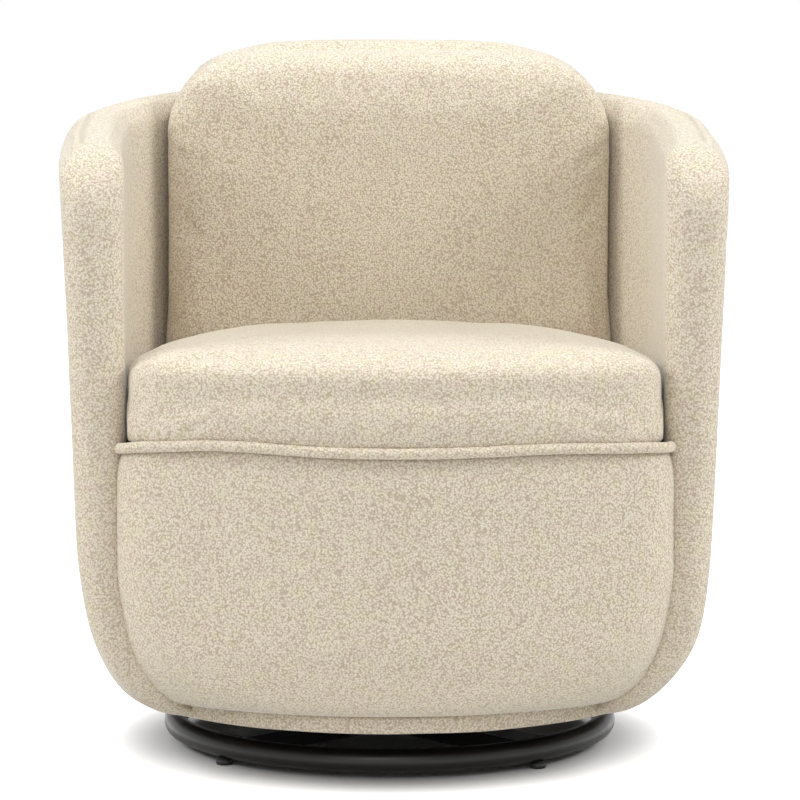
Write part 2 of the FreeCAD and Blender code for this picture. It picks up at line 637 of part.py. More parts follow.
class Wall:
    """The shell wall seen from above at one height; inset is how far a face lies inside the outer one."""

    def __init__(self, z):
        f = tuck(z, size.tuck_height)
        self.z = z
        self.width = size.body_radius - size.body_taper * (size.rim_height - size.rim_round
                                                           - z) - level.inner_radius
        self.outer = self.width + level.inner_radius - size.tuck_side * f
        dx = size.arm_taper + (size.tuck_corner - size.tuck_side) * f
        self.dy = size.arm_front + size.body_centre - size.tuck_front * f
        self.bend = (dx * dx + self.dy * self.dy) / (2 * dx)
        self.arm_centre = Vector(self.outer - self.bend, size.body_centre, z)

    def arm(self, inset, turn):
        """A point of the right arm, turn radians in front of the side."""
        radius = self.bend - inset
        return self.arm_centre + Vector(radius * math.cos(turn), -radius * math.sin(turn), 0)

    def right_side(self, inset, end):
        """Points from the middle of the back round to the front of the right arm."""
        back = sampled(Vector(0, size.body_centre, self.z), self.outer - inset, math.pi / 2, 0,
                       int(size.back_chords))
        back[0].x = 0
        stations = [math.asin(self.dy / self.bend) * 0.4 * k for k in (1, 2)]
        return back + [self.arm(inset, turn) for turn in (*stations, end)]


def wall_outline(z, inset, width, end_inset, tilt=0.0):
    """Horseshoe outline of one layer of the shell wall, with rounded front ends."""
    wall = Wall(z)
    corner = max(min(size.arm_corner - end_inset, 0.45 * width), size.least_corner)
    end = math.asin(wall.dy / wall.bend) - (end_inset + corner) / wall.bend
    steps = int(size.corner_chords)
    front = sampled(wall.arm(inset + corner, end), corner, -end, -end - math.pi / 2, steps)[1:]
    front += sampled(wall.arm(inset + width - corner, end), corner, -end - math.pi / 2, -end - math.pi, steps)
    right = wall.right_side(inset, end) + front + wall.right_side(inset + width, end)[-2::-1]
    rise = Rotation(Vector(1, 0, 0), tilt)
    pivot = Vector(0, 0, z)
    return [rise.multVec(point - pivot) + pivot for point in symmetrical(right)]


def deck_outline(z, inset, front):
    """Outline inside the shell wall, closed by a straight line across the front."""
    wall = Wall(z)
    return symmetrical(wall.right_side(inset, math.asin((front + size.body_centre) / (wall.bend - inset))))


def low_levels():
    """Heights from the underside to where the shell starts to round under."""
    depth = size.tuck_height - size.underside_height
    return [size.tuck_height - depth * math.sin(math.pi / 6 * k) for k in range(3, -1, -1)]


def shell_form(offset):
    """The whole upholstered wall; offset is how far it lies inside the outer surface."""
    outlines = [wall_outline(z, offset, Wall(z).width - 2 * offset, offset) for z in low_levels()]
    shoulder = size.rim_height - size.rim_round
    for turn in (0.0, math.pi / 4, math.pi / 2):
        z = shoulder + (size.rim_round - offset) * math.sin(turn)
        inset = offset + (size.rim_round - offset) * (1 - math.cos(turn))
        outlines.append(wall_outline(z, inset, Wall(shoulder).width - 2 * inset, inset, size.rim_tilt))
    return skin(outlines)


def frame_zone(inset, width, play=0.0):
    """Where the plywood frame stands inside the shell wall, from the bottom panel to the rim rib."""
    inset, width, end = inset - play, width + 2 * play, size.end_padding - play
    outlines = [wall_outline(z, inset, width, end) for z in low_levels()]
    below, above = outlines[:2]
    share = (level.panel_top - below[0].z) / (above[0].z - below[0].z)
    outlines[0] = [a + (b - a) * share for a, b in zip(below, above)]
    outlines.append(wall_outline(level.rim_rib_top + play, inset, width, end, size.rim_tilt))
    return skin(outlines)


def front_outline(z, half_width, reach, bow, corner, back, inset, side_bow=0.0):
    """Bowed front, round corners, nearly straight sides and a straight back, moved in by inset."""
    half_width, reach, bow, corner = half_width - inset, reach - inset, bow - inset, max(corner - inset, 12)
    front_centre = Vector(0, bow - reach, z)
    corner_x = half_width - corner
    corner_centre = Vector(corner_x, front_centre.y - math.sqrt((bow - corner) ** 2 - corner_x ** 2), z)
    towards = corner_centre - front_centre
    meet = math.atan2(towards.y, towards.x)
    right = sampled(front_centre, bow, -math.pi / 2, meet, 3) + sampled(corner_centre, corner, meet, 0, 3)[1:]
    right[0].x = 0
    start = right[-1]
    for share in (1 / 3, 2 / 3, 1.0):
        right.append(Vector(half_width + 4 * side_bow * share * (1 - share),
                            start.y + (back - start.y) * share, z))
    return symmetrical(right)


def frame_blocks(prefix, bottom, top, front_reach):
    """Upright slabs across the shell wall, where the posts stand."""
    slabs = []
    for turn in ("90 - sizes.back_post_turn", "90", "90 + sizes.back_post_turn"):
        slab = doc.addObject("Part::Box", f"{prefix}_back_{len(slabs)}")
        slabs.append(bound(slab, {
            "Length": "sizes.body_radius", "Width": "sizes.rib_thickness", "Height": f"({top}) - ({bottom})",
            "Placement.Rotation.Angle": turn,
            "Placement.Base.x": f"sizes.body_radius / 2 * cos({turn}) + sizes.rib_thickness / 2 * sin({turn})",
            "Placement.Base.y": f"sizes.body_centre + sizes.body_radius / 2 * sin({turn})"
                                f" - sizes.rib_thickness / 2 * cos({turn})",
            "Placement.Base.z": bottom,
        }))
    for number, reach in enumerate(("sizes.side_post_reach", front_reach)):
        for side, x in (("right", "sizes.body_radius / 2"), ("left", "-sizes.body_radius")):
            slabs.append(block(f"{prefix}_{side}_{number}", "sizes.body_radius / 2", "sizes.rib_thickness",
                               f"({top}) - ({bottom})", x=x, y=f"-({reach}) - sizes.rib_thickness / 2",
                               z=bottom))
    return fused(prefix + "_slabs", slabs)


def make_frame():
    """Plywood posts, ribs and outer board inside the shell wall."""
    inset = size.cover_thickness + size.wadding_thickness
    board = shaped("outer_board", frame_zone(inset, size.board_thickness))
    finished("outer_board", board)
    inset += size.board_thickness + size.frame_play
    zone = shaped("frame_zone", frame_zone(inset, size.frame_width))
    wide_zone = shaped("lower_frame_zone", frame_zone(inset, size.lower_post_width))

    posts = frame_blocks("lower_post", "levels.panel_top", "levels.deck_bottom",
                         "sizes.lower_front_post_reach")
    finished("lower_posts", shared("lower_posts", [wide_zone, posts]))
    posts = frame_blocks("middle_post", "levels.rail_bottom", "sizes.arm_rib_height",
                         "sizes.front_post_reach")
    finished("middle_posts", shared("middle_posts", [zone, posts]))
    slab = block("arm_rib_slab", "4 * sizes.body_radius", "4 * sizes.body_radius", "sizes.rib_thickness",
                 x="-2 * sizes.body_radius", y="-2 * sizes.body_radius", z="sizes.arm_rib_height")
    finished("arm_rib", shared("arm_rib", [zone, slab]))

    top = block("rim_rib_slab", "4 * sizes.body_radius", "4 * sizes.body_radius", "sizes.body_radius")
    top.Placement.Rotation = Rotation(Vector(1, 0, 0), size.rim_tilt)
    bound(top, {
        "Placement.Base.x": "-2 * sizes.body_radius",
        "Placement.Base.y": "-2 * sizes.body_radius * cos(sizes.rim_tilt)",
        "Placement.Base.z": "levels.rim_rib_top - sizes.rib_thickness - 2 * sizes.body_radius * sin(sizes.rim_tilt)",
    })
    finished("rim_rib", shared("rim_rib", [zone, top]))
    posts = frame_blocks("upper_post", "sizes.arm_rib_height + sizes.rib_thickness", "sizes.pillow_height",
                         "sizes.front_post_reach")
    finished("upper_posts", cut("upper_posts", shared("upper_post_blanks", [zone, posts]), top))


def make_deck():
    """Seat deck: board, legs, rails, corner blocks, webbing and felt."""
    inset = size.cover_thickness + size.wadding_thickness + size.board_thickness + size.frame_play
    board = shaped("deck_blank", skin([deck_outline(z, inset, level.board_front)
                                       for z in (level.deck_bottom, level.rail_bottom)]))
    back = "levels.rail_back - sizes.rail_thickness"
    front = "-levels.board_front"
    inner = "levels.rail_half_width - sizes.rail_thickness"
    opening = block("deck_opening", f"2 * ({inner})", f"{back} + levels.board_front - sizes.rail_thickness",
                    "3 * sizes.rib_thickness", x=f"-({inner})", y=f"{front} + sizes.rail_thickness",
                    z="levels.deck_bottom - sizes.rib_thickness")
    finished("deck_board", cut("deck_board", board, opening))

    legs = [block(f"deck_leg_{side}", "sizes.leg_width", "sizes.leg_width",
                  "levels.deck_bottom - levels.panel_top",
                  x=f"{side} * sizes.leg_spacing - sizes.leg_width / 2", y="-levels.leg_front",
                  z="levels.panel_top")
                  for side in (-1, 1)]
    finished("deck_legs", grouped("deck_legs", legs))
    for label, y in (("front_rail", front), ("back_rail", back)):
        plank(label, "levels.rail_half_width", y, f"{y} + sizes.rail_thickness", "levels.rail_bottom",
              "sizes.rail_depth")
    sides = [block(f"side_rail_{name}", "sizes.rail_thickness",
                   f"{back} + levels.board_front - sizes.rail_thickness",
                   "sizes.rail_depth", x=x, y=f"{front} + sizes.rail_thickness", z="levels.rail_bottom")
             for name, x in (("left", "-levels.rail_half_width"), ("right", inner))]
    finished("side_rails", grouped("side_rails", sides))
    blocks = [block(f"corner_block_{k}", "sizes.leg_width", "sizes.leg_width", "sizes.rail_depth", x=x, y=y,
                    z="levels.rail_bottom")
              for k, (x, y) in enumerate((x, y) for x in (f"-({inner})", f"{inner} - sizes.leg_width")
                                         for y in (f"{front} + sizes.rail_thickness",
                                                   f"{back} - sizes.leg_width"))]
    finished("corner_blocks", grouped("corner_blocks", blocks))
    foot = "sizes.underside_height + sizes.band_height + sizes.soft_gap"
    board = block("front_board_blank", "2 * levels.front_board_half_width", "sizes.front_board_thickness",
                  f"levels.rail_top - ({foot})", x="-levels.front_board_half_width",
                  y="-levels.board_front - sizes.front_board_thickness", z=foot)
    room = shaped("front_board_room", pad_hollow(size.soft_gap))
    finished("front_board", shared("front_board", [board, room]))

    width, length = "2 * levels.rail_half_width", "(levels.board_front + levels.rail_back)"
    pitch = f"{width} / sizes.webbing_long"
    straps = [block(f"long_strap_{k}", "sizes.webbing_width", length, "sizes.webbing_thickness",
                    x=f"-levels.rail_half_width + {pitch} * {k + 0.5} - sizes.webbing_width / 2", y=front,
                    z="levels.rail_top") for k in range(int(size.webbing_long))]
    finished("webbing_long", grouped("webbing_long", straps))
    pitch = f"{length} / sizes.webbing_cross"
    straps = [block(f"cross_strap_{k}", width, "sizes.webbing_width", "sizes.webbing_thickness",
                    x="-levels.rail_half_width", y=f"{front} + {pitch} * {k + 0.5} - sizes.webbing_width / 2",
                    z="levels.rail_top + sizes.webbing_thickness") for k in range(int(size.webbing_cross))]
    finished("webbing_cross", grouped("webbing_cross", straps))
    plank("deck_felt", "levels.rail_half_width - 2", front, "levels.rail_back",
          "levels.rail_top + 2 * sizes.webbing_thickness", "sizes.felt_thickness")


def deck_space():
    """The hollow under the seat that the shell padding leaves free, reaching into the frame."""
    inset = size.cover_thickness + size.wadding_thickness + size.board_thickness + size.frame_width
    inset -= size.deck_clearance / 2
    outlines = []
    for z in (level.panel_top, *low_levels()[1:], level.rail_top + size.deck_clearance):
        wall = Wall(z)
        outlines.append(deck_outline(z, inset, wall.dy - size.body_centre - size.deck_end_padding))
    return shaped("deck_space", skin(outlines))


def make_shell(panel):
    """Cover and foam of the barrel shell, hollow where the frame stands."""
    outside = shaped("shell_outside", shell_form(0.0))
    below = block("below_panel", "4 * sizes.body_radius", "4 * sizes.body_radius", "levels.panel_bottom",
                  x="-2 * sizes.body_radius", y="-2 * sizes.body_radius")
    inside = cut("shell_inside", shaped("shell_inside_blank", shell_form(size.cover_thickness)), below)
    hollow = deck_space()
    cover = cut("shell_skin", outside, inside)
    finished("shell_cover", cut("shell_cover", cover, fused("cover_cuts", [hollow, panel])))
    inset = size.cover_thickness + size.wadding_thickness
    width = size.board_thickness + size.frame_play + size.frame_width
    frame = shaped("frame_pocket", frame_zone(inset, width, 2 * size.frame_play))
    finished("shell_foam", cut("shell_foam", inside, fused("foam_cuts", [frame, hollow, panel])))


def pillow_form(inset):
    """Back pillow: crowned front, rounded top, back following the inside of the shell."""
    corner = size.pillow_corner - inset
    edge = size.pillow_edge - inset
    shoulder = size.pillow_height - size.pillow_corner
    heights = [size.welt_height + size.soft_gap + inset, shoulder - 20]
    heights += [shoulder + corner * math.sin(math.radians(turn)) for turn in (0, 24, 47, 69, 90)]
    outlines = []
    for z in heights:
        rise = min(max(z - shoulder, 0.0), corner)
        half_width = level.pillow_half_width - size.pillow_corner + math.sqrt(corner ** 2 - rise ** 2)
        rise = min(max(z - size.pillow_height + size.pillow_edge, 0.0), edge)
        recess = size.pillow_edge - math.sqrt(edge ** 2 - rise ** 2)
        share = clamp((z - shoulder + 20) / (size.pillow_corner + 20))
        round_edge = size.pillow_side_corner + (size.pillow_top_corner
                                                - size.pillow_side_corner) * share - inset
        front, back_radius = size.pillow_front + recess, level.inner_radius + size.pillow_overhang - recess
        flat = half_width - round_edge
        right = [Vector(flat * k / 3, front - size.pillow_crown * (1 - (k / 3) ** 2), z) for k in range(4)]
        right += sampled(Vector(flat, front + round_edge, z), round_edge, -math.pi / 2, 0, 3)[1:]
        first = math.acos(half_width / back_radius)
        right += sampled(Vector(0, size.body_centre, z), back_radius, first, math.pi / 2, 5)
        right[-1].x = 0
        outlines.append(symmetrical(right))
    return skin(outlines)


def fallen(outline, flat):
    """Lets the crown drop towards the pillow, in the middle as one plane and more to either side of it."""
    front, back = flat - size.seat_front, size.seat_back
    middle = level.seat_half_width + size.seat_side_bow - flat
    low = size.welt_height + 16
    for point in outline:
        share = clamp((point.z - low) / (level.seat_height - size.seat_round - low))
        beside = max(abs(point.x) - middle, 0.0) / flat
        drop = size.seat_back_fall * clamp((point.y - front) / (back - front))
        drop += size.seat_side_fall * beside * beside * clamp((point.y
                                                               + size.seat_front) / (back + size.seat_front))
        point.z -= share * drop
    return outline


def seat_form(inset):
    """Seat cushion with its front block: drawn-in lower edge, rounded top edges and a falling crown."""
    shoulder = level.seat_height - size.seat_round
    edge = size.seat_round - inset
    rows = [(size.welt_height + inset, 5), (size.welt_height + 8, 1), (size.welt_height + 16, 0)]
    rows += [(shoulder + edge * math.sin(turn), edge * (1 - math.cos(turn)))
             for turn in map(math.radians, (0, 35, 65))]
    low, start = rows[-1]
    top = level.seat_height + size.seat_crown - inset
    for share in (0.25, 0.6, 1.0):
        rows.append((low + (top - low) * (1 - (1 - share) ** 2),
                     start + (size.seat_crown_width - start) * share))
    outlines = [front_outline(z, level.seat_half_width, size.seat_front, size.seat_front_bow,
                              size.seat_corner,
                              size.seat_back, inset + extra, size.seat_side_bow) for z, extra in rows]
    return skin([fallen(outline, size.seat_crown_width + inset) for outline in outlines])


def pad_outline(z, inset):
    """The front pad at one height: it rounds under, and its corners open out towards the bottom."""
    u = clamp((size.pad_tuck_height - z) / (size.pad_tuck_height - size.underside_height))
    fall = max(size.pad_round_height - z, 0.0)
    reach = size.seat_front - size.pad_tuck_radius + math.sqrt(size.pad_tuck_radius ** 2 - fall ** 2)
    return front_outline(
        z, level.pad_half_width - size.pad_side_tuck * u, reach,
        size.seat_front_bow - (size.seat_front_bow - size.pad_bottom_bow) * u ** 1.2,
        size.seat_corner + (size.pad_bottom_corner - size.seat_corner) * u ** 1.5, 20, inset)


def pad_levels():
    """Heights at which the lower part of the front pad is drawn, up to where it starts to round under."""
    foot = size.underside_height + size.band_height
    return [foot + (size.pad_tuck_height - foot) * share for share in (0.27, 0.47, 0.73)]


def pad_form(inset):
    foot = size.underside_height + size.band_height
    rows = [(foot + inset, 0), (foot + 16, 0), *((z, 0) for z in pad_levels()), (size.pad_tuck_height, 0),
            (size.welt_height - 21, 0), (size.welt_height - 8, 1), (size.welt_height - inset, 5)]
    return skin([pad_outline(z, inset + extra) for z, extra in rows])


def pad_hollow(clearance=0.0):
    """The room behind the front pad that the deck takes up, a little taller than the pad."""
    foot = size.underside_height + size.band_height
    heights = (foot, foot, *pad_levels(), size.pad_tuck_height, level.seat_height)
    outlines = [pad_outline(z, size.pad_depth + clearance) for z in heights]
    for point in outlines[0]:
        point.z -= size.band_height
    return skin(outlines)


def welt_form(grown):
    """Piping with an eight-sided section along the front of the seat."""
    radius = size.welt_radius + grown
    near, far = radius * math.sin(math.pi / 8), radius * math.cos(math.pi / 8)

    def side(sign):
        rows = ((-far, near), (-near, far), (near, far), (far, near))
        return skin([front_outline(size.welt_height + rise, level.welt_half_width,
                                   size.seat_front - size.welt_inset,
                                   size.seat_front_bow - size.welt_inset, size.seat_corner - size.welt_inset,
                                   20,
                                   sign * out) for rise, out in rows])

    return side(-1).cut(side(1))


def make_cushions():
    """Pillow, seat, front pad, piping and band; each is trimmed by what it rests against."""
    cover = size.cover_thickness
    skins = {}
    for layer, inset in (("outer", 0.0), ("inner", cover)):
        gap = size.soft_gap + inset
        shell = shaped(f"shell_against_{layer}", shell_form(-gap))
        pillow = shaped(f"pillow_against_{layer}", pillow_form(-gap))
        groove = shaped(f"welt_groove_{layer}", welt_form(gap))
        skins["pillow", layer] = cut(f"pillow_{layer}", shaped(f"pillow_form_{layer}", pillow_form(inset)),
                                     shell)
        skins["seat", layer] = cut(f"seat_{layer}", shaped(f"seat_form_{layer}", seat_form(inset)),
                                   fused(f"seat_cuts_{layer}", [shell, pillow, groove]))
        skins["pad", layer] = cut(f"pad_{layer}", shaped(f"pad_form_{layer}", pad_form(inset)),
                                  fused(f"pad_cuts_{layer}", [shell, groove]))
        if layer == "outer":
            shell_clear = shell
    finished("pillow_cover", cut("pillow_cover", skins["pillow", "outer"], skins["pillow", "inner"]))
    finished("pillow_core", skins["pillow", "inner"])

    topper_bottom = "levels.seat_height + sizes.seat_crown - sizes.cover_thickness - sizes.topper_thickness"
    above = block("topper_space", "4 * sizes.body_radius", "4 * sizes.body_radius", "sizes.body_radius",
                  x="-2 * sizes.body_radius", y="-2 * sizes.body_radius", z=topper_bottom)
    finished("seat_cover", cut("seat_cover", skins["seat", "outer"], skins["seat", "inner"]))
    finished("seat_core", cut("seat_core", skins["seat", "inner"], above))
    finished("seat_topper", shared("seat_topper", [skins["seat", "inner"], above]))

    across, back_edge = "4 * sizes.body_radius", "-levels.board_front - sizes.front_board_thickness"
    behind = block("behind_pad", across, across, across, x="-2 * sizes.body_radius", y="-sizes.pad_back")
    hollow_space = block("pad_hollow_space", across, across, across, x="-2 * sizes.body_radius", y=back_edge)
    hollow = shared("pad_hollow", [shaped("pad_hollow_form", pad_hollow()), hollow_space])
    gap = "sizes.soft_gap"
    slab = block("deck_against_pad", across, across, f"sizes.rib_thickness + 2 * {gap}",
                 x="-2 * sizes.body_radius",
                 y=back_edge, z=f"levels.deck_bottom - {gap}")
    trim = fused("pad_trim", [behind, hollow, slab])
    core = cut("front_pad", skins["pad", "inner"], trim)
    finished("front_pad", core)
    finished("front_cover",
             cut("front_cover", cut("front_skin", skins["pad", "outer"], trim), skins["pad", "inner"]))

    ends = block("behind_welt", across, across, across, x="-2 * sizes.body_radius", y="-sizes.welt_end")
    piping = shaped("piping", welt_form(0.0))
    finished("seat_welt", cut("seat_welt", piping, fused("welt_cuts", [ends, shell_clear])))

    rim = many_sided("band_rim", "sizes.panel_flats", "levels.band_radius", "sizes.band_height",
                     z="sizes.underside_height")
    bore = many_sided("band_bore", "sizes.panel_flats", f"levels.panel_radius + {gap}",
                      "3 * sizes.band_height",
                      z="sizes.underside_height - sizes.band_height")
    ends = block("behind_band", across, across, across, x="-2 * sizes.body_radius", y="-sizes.band_reach")
    ends_at_floor = fused("band_cuts", [bore, ends, shell_clear])
    finished("bottom_band", cut("bottom_band", rim, ends_at_floor))

    sheet = many_sided("dust_disc", "sizes.panel_flats", "levels.panel_radius - sizes.dust_cover_inset",
                       "sizes.dust_cover_thickness",
                       z="levels.panel_bottom - sizes.dust_cover_thickness")
    window = block("dust_window", "2 * sizes.bolt_spacing + sizes.batten_width + 4",
                   "sizes.batten_length + 4",
                   "3 * sizes.dust_cover_thickness", x="-sizes.bolt_spacing - sizes.batten_width / 2 - 2",
                   y="-sizes.batten_length / 2 - 2", z="sizes.underside_height - sizes.dust_cover_thickness")
    finished("dust_cover", cut("dust_cover", sheet, fused("dust_cuts", [window, shell_clear])))


ring = make_base_ring()
make_floor_glides()
make_cross_bars(ring)
make_hub_plate()
make_lower_race()
make_rivets()
bushing = make_pivot()
make_balls_and_cage()
panel = make_mounting(bushing)
make_frame()
make_deck()
make_shell(panel)
make_cushions()
doc.recompute()

for item in doc.Objects:
    if {"Invalid", "Error"} & set(item.State):
        raise RuntimeError(f"{item.Name} did not recompute")

os.makedirs("parts", exist_ok=True)
for item in subparts:
    if item.Shape.isNull() or not item.Shape.isValid():
        raise RuntimeError(f"{item.Label} has no valid shape")
    item.Shape.exportStep(f"parts/{item.Label}.step")
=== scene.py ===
import math

import bmesh
import bpy
import numpy as np
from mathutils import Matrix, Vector, noise


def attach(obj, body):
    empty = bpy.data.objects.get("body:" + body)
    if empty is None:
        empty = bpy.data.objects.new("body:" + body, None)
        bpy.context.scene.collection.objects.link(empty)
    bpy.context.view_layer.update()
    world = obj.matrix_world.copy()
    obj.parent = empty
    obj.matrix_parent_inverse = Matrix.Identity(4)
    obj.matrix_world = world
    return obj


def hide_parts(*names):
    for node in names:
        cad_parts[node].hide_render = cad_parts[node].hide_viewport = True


# Swivel armchair: detailed upholstery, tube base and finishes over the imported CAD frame.
# Forms are worked out in millimetres, as in the part's source, and meshes are made in metres.

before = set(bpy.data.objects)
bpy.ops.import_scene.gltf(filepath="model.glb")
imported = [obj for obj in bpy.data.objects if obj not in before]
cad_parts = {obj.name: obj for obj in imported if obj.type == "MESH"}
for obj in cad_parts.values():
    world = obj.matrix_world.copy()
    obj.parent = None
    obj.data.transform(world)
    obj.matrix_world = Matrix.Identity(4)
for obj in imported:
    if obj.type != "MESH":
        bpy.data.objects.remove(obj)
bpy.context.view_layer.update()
scene = bpy.context.scene
scene.view_settings.view_transform = "Standard"
PI = math.pi

# ---------------------------------------------------------------- camera

CAMERA_PLACE, CAMERA_AIM, CAMERA_LENS = (-0.0953, -4.1989, 0.850), (0.0115, 0.0, 0.375), 172.6


def aimed(place, aim):
    """The rotation that points a camera or lamp from its place to its aim."""
    return (Vector(aim) - Vector(place)).to_track_quat("-Z", "Y").to_euler()


camera = bpy.data.objects.new("camera", bpy.data.cameras.new("camera"))
camera.data.lens = CAMERA_LENS
camera.data.sensor_width = 36.0
camera.data.clip_end = 30.0
camera.location = CAMERA_PLACE
camera.rotation_euler = aimed(CAMERA_PLACE, CAMERA_AIM)
scene.collection.objects.link(camera)
scene.camera = camera

# ---------------------------------------------------------------- sizes shared with the part's source

UNDERSIDE, TUCK = 60.0, 260.0
BODY_RADIUS, BODY_CENTRE, BODY_TAPER, INNER_RADIUS = 355.0, 11.0, 0.036, 289.0
ARM_TAPER, ARM_FRONT, ARM_CORNER = 13.0, 292.0, 24.0
RIM_HEIGHT, RIM_TILT, RIM_ROUND = 690.0, math.radians(4.3), 28.0
TUCK_SIDE, TUCK_CORNER, TUCK_FRONT = 46.0, 112.0, 97.0
SEAT_HEIGHT, SEAT_CROWN, SEAT_FRONT, SEAT_HALF, SEAT_CORNER = 453.0, 10.0, 366.0, 279.0, 62.0
SEAT_BOW, SEAT_BACK, SEAT_SIDE_BOW, SEAT_ROUND, SEAT_CROWN_WIDTH = 800.0, 135.0, 8.0, 20.0, 150.0
SEAT_BACK_FALL, SEAT_SIDE_FALL = 13.0, 25.0
WELT_HEIGHT, WELT_RADIUS, WELT_HALF, WELT_INSET, WELT_END = 361.0, 5.8, 286.0, 3.0, 262.0
PAD_HALF, PAD_SIDE_TUCK, PAD_TUCK_HEIGHT, PAD_TUCK_RADIUS, PAD_ROUND = 290.0, 6.0, 230.0, 100.0, 170.0
PAD_BOTTOM_CORNER, PAD_BOTTOM_BOW, PAD_BACK, PAD_DEPTH, BOARD_BACK = 222.0, 320.0, 200.0, 30.0, 251.0
BAND_HEIGHT, BAND_RADIUS, BAND_REACH, PANEL_RADIUS = 19.0, 298.0, 190.0, 279.0
PILLOW_HEIGHT, PILLOW_HALF, PILLOW_CORNER, PILLOW_FRONT, PILLOW_CROWN = 760.0, 257.0, 100.0, 120.0, 9.0
PILLOW_EDGE, PILLOW_SIDE, PILLOW_TOP, PILLOW_OVERHANG = 38.0, 16.0, 34.0, 8.0
GAP = 0.5

# Sizes of the upholstery alone, in millimetres.
SHOULDER = RIM_HEIGHT - RIM_ROUND
RIM_FALL, RIM_FALL_WIDTH, FRONT_ROUND, FRONT_ROUND_DEPTH = 8.0, 58.0, 72.0, 110.0
BULGE_RIGHT, BULGE_LEFT, BULGE_HEIGHT, BULGE_SPREAD = 7.0, 3.0, 140.0, 55.0
SEAM_RISE, SEAM_WIDTH, SEAM_DEPTH, SEAM_RIDGE, NO_SEAM = 0.80, 1.6, 1.3, 0.6, 99.0
# Waves of the sewn line under the seat: rise, place across the seat and half width of each.
LINE_WAVES = ((6.6, -178, 85), (2.9, 160, 75), (-5.5, -292, 18), (-3.5, 290, 20))
# Cloth simulation: edge of its quads in metres, air pressure, and how far the cloth may swell.
CLOTH_QUAD, CLOTH_PRESSURE, CLOTH_STEPS, PILLOW_SWELL, SEAT_SWELL = 0.005, 4.0, 20, 6.0, 5.0
CLEAR = 0.8
METRES, MILLIMETRES = 0.001, 1000


def eased(value):
    """Rises smoothly from 0 to 1 as the value does."""
    value = np.clip(value, 0, 1)
    return value * value * (3 - 2 * value)


def clamp(value, low=0.0, high=1.0):
    return min(max(value, low), high)


def arc(centre, radius, first, last, steps):
    """Points of an arc seen from above, as an array of x and y."""
    turn = np.linspace(first, last, steps + 1)
    return np.stack([centre[0] + radius * np.cos(turn), centre[1] + radius * np.sin(turn)], -1)


def line(a, b, steps):
    """Points of a straight run from a to b, without the first one."""
    share = np.linspace(0, 1, steps + 1)[1:, None]
    return np.asarray(a, float) * (1 - share) + np.asarray(b, float) * share


def rounded(x0, x1, y0, y1, corner, steps):
    """Points of a rectangle with round corners, seen from above."""
    centres = ((x1 - corner, y1 - corner), (x0 + corner, y1 - corner), (x0 + corner, y0 + corner),
               (x1 - corner, y0 + corner))
    return np.concatenate([arc(centre, corner, k * PI / 2, (k + 1) * PI / 2, steps)
                           for k, centre in enumerate(centres)])


def at_height(points, z):
    return np.concatenate([points, np.full((len(points), 1), float(z))], -1)


def mirrored(right):
    """A closed loop from the points of its right side, whose first and last points have x = 0."""
    left = right[-2:0:-1] * np.array([-1, 1, 1])
    return np.concatenate([right, left])


def loft(name, rows, low_pole=False, high_pole=False, merge=0.0):
    """Quads through closed rows of points in millimetres; a pole closes an end with a fan."""
    rows = np.asarray(rows, float) * METRES
    layers, around = rows.shape[:2]
    vertices = rows.reshape(-1, 3).tolist()
    faces = []
    for r in range(layers - 1):
        a, b = r * around, (r + 1) * around
        faces += [(a + k, a + (k + 1) % around, b + (k + 1) % around, b + k) for k in range(around)]
    for wanted, start in ((low_pole, 0), (high_pole, (layers - 1) * around)):
        if wanted:
            vertices.append(np.mean(vertices[start:start + around], 0).tolist())
            faces += [(start + k, start + (k + 1) % around, len(vertices) - 1) for k in range(around)]
    mesh = bpy.data.meshes.new(name)
    mesh.from_pydata(vertices, [], faces)
    shape = bmesh.new()
    shape.from_mesh(mesh)
    if merge:
        bmesh.ops.remove_doubles(shape, verts=shape.verts, dist=merge)
    bmesh.ops.recalc_face_normals(shape, faces=shape.faces)
    shape.to_mesh(mesh)
    shape.free()
    mesh.polygons.foreach_set("use_smooth", [True] * len(mesh.polygons))
    piece = bpy.data.objects.new(name, mesh)
    scene.collection.objects.link(piece)
    return piece


def settle(piece):
    """Applies the piece's modifiers to its mesh."""
    graph = bpy.context.evaluated_depsgraph_get()
    mesh = bpy.data.meshes.new_from_object(piece.evaluated_get(graph), depsgraph=graph)
    piece.modifiers.clear()
    old = piece.data
    piece.data = mesh
    bpy.data.meshes.remove(old)
    mesh.polygons.foreach_set("use_smooth", [True] * len(mesh.polygons))


def subdivided(piece):
    piece.modifiers.new("subdivision", "SUBSURF").levels = 1
    settle(piece)


def points_of(piece):
    points = np.zeros(len(piece.data.vertices) * 3)
    piece.data.vertices.foreach_get("co", points)
    return points.reshape(-1, 3) * MILLIMETRES


def normals_of(piece):
    found = np.zeros(len(piece.data.vertices) * 3)
    piece.data.vertices.foreach_get("normal", found)
    return found.reshape(-1, 3)


def move_points(piece, points):
    piece.data.vertices.foreach_set("co", (points * METRES).ravel())
    piece.data.update()


def waves(points, scale, seed):
    """Smooth noise from about -1 to 1 at each point; scale is the size of a wave in millimetres."""
    offset = Vector((seed * 7.3, seed * 3.1, seed * 5.7))
    return np.array([noise.noise(Vector(point) / scale + offset) for point in points.tolist()])


# ---------------------------------------------------------------- shell

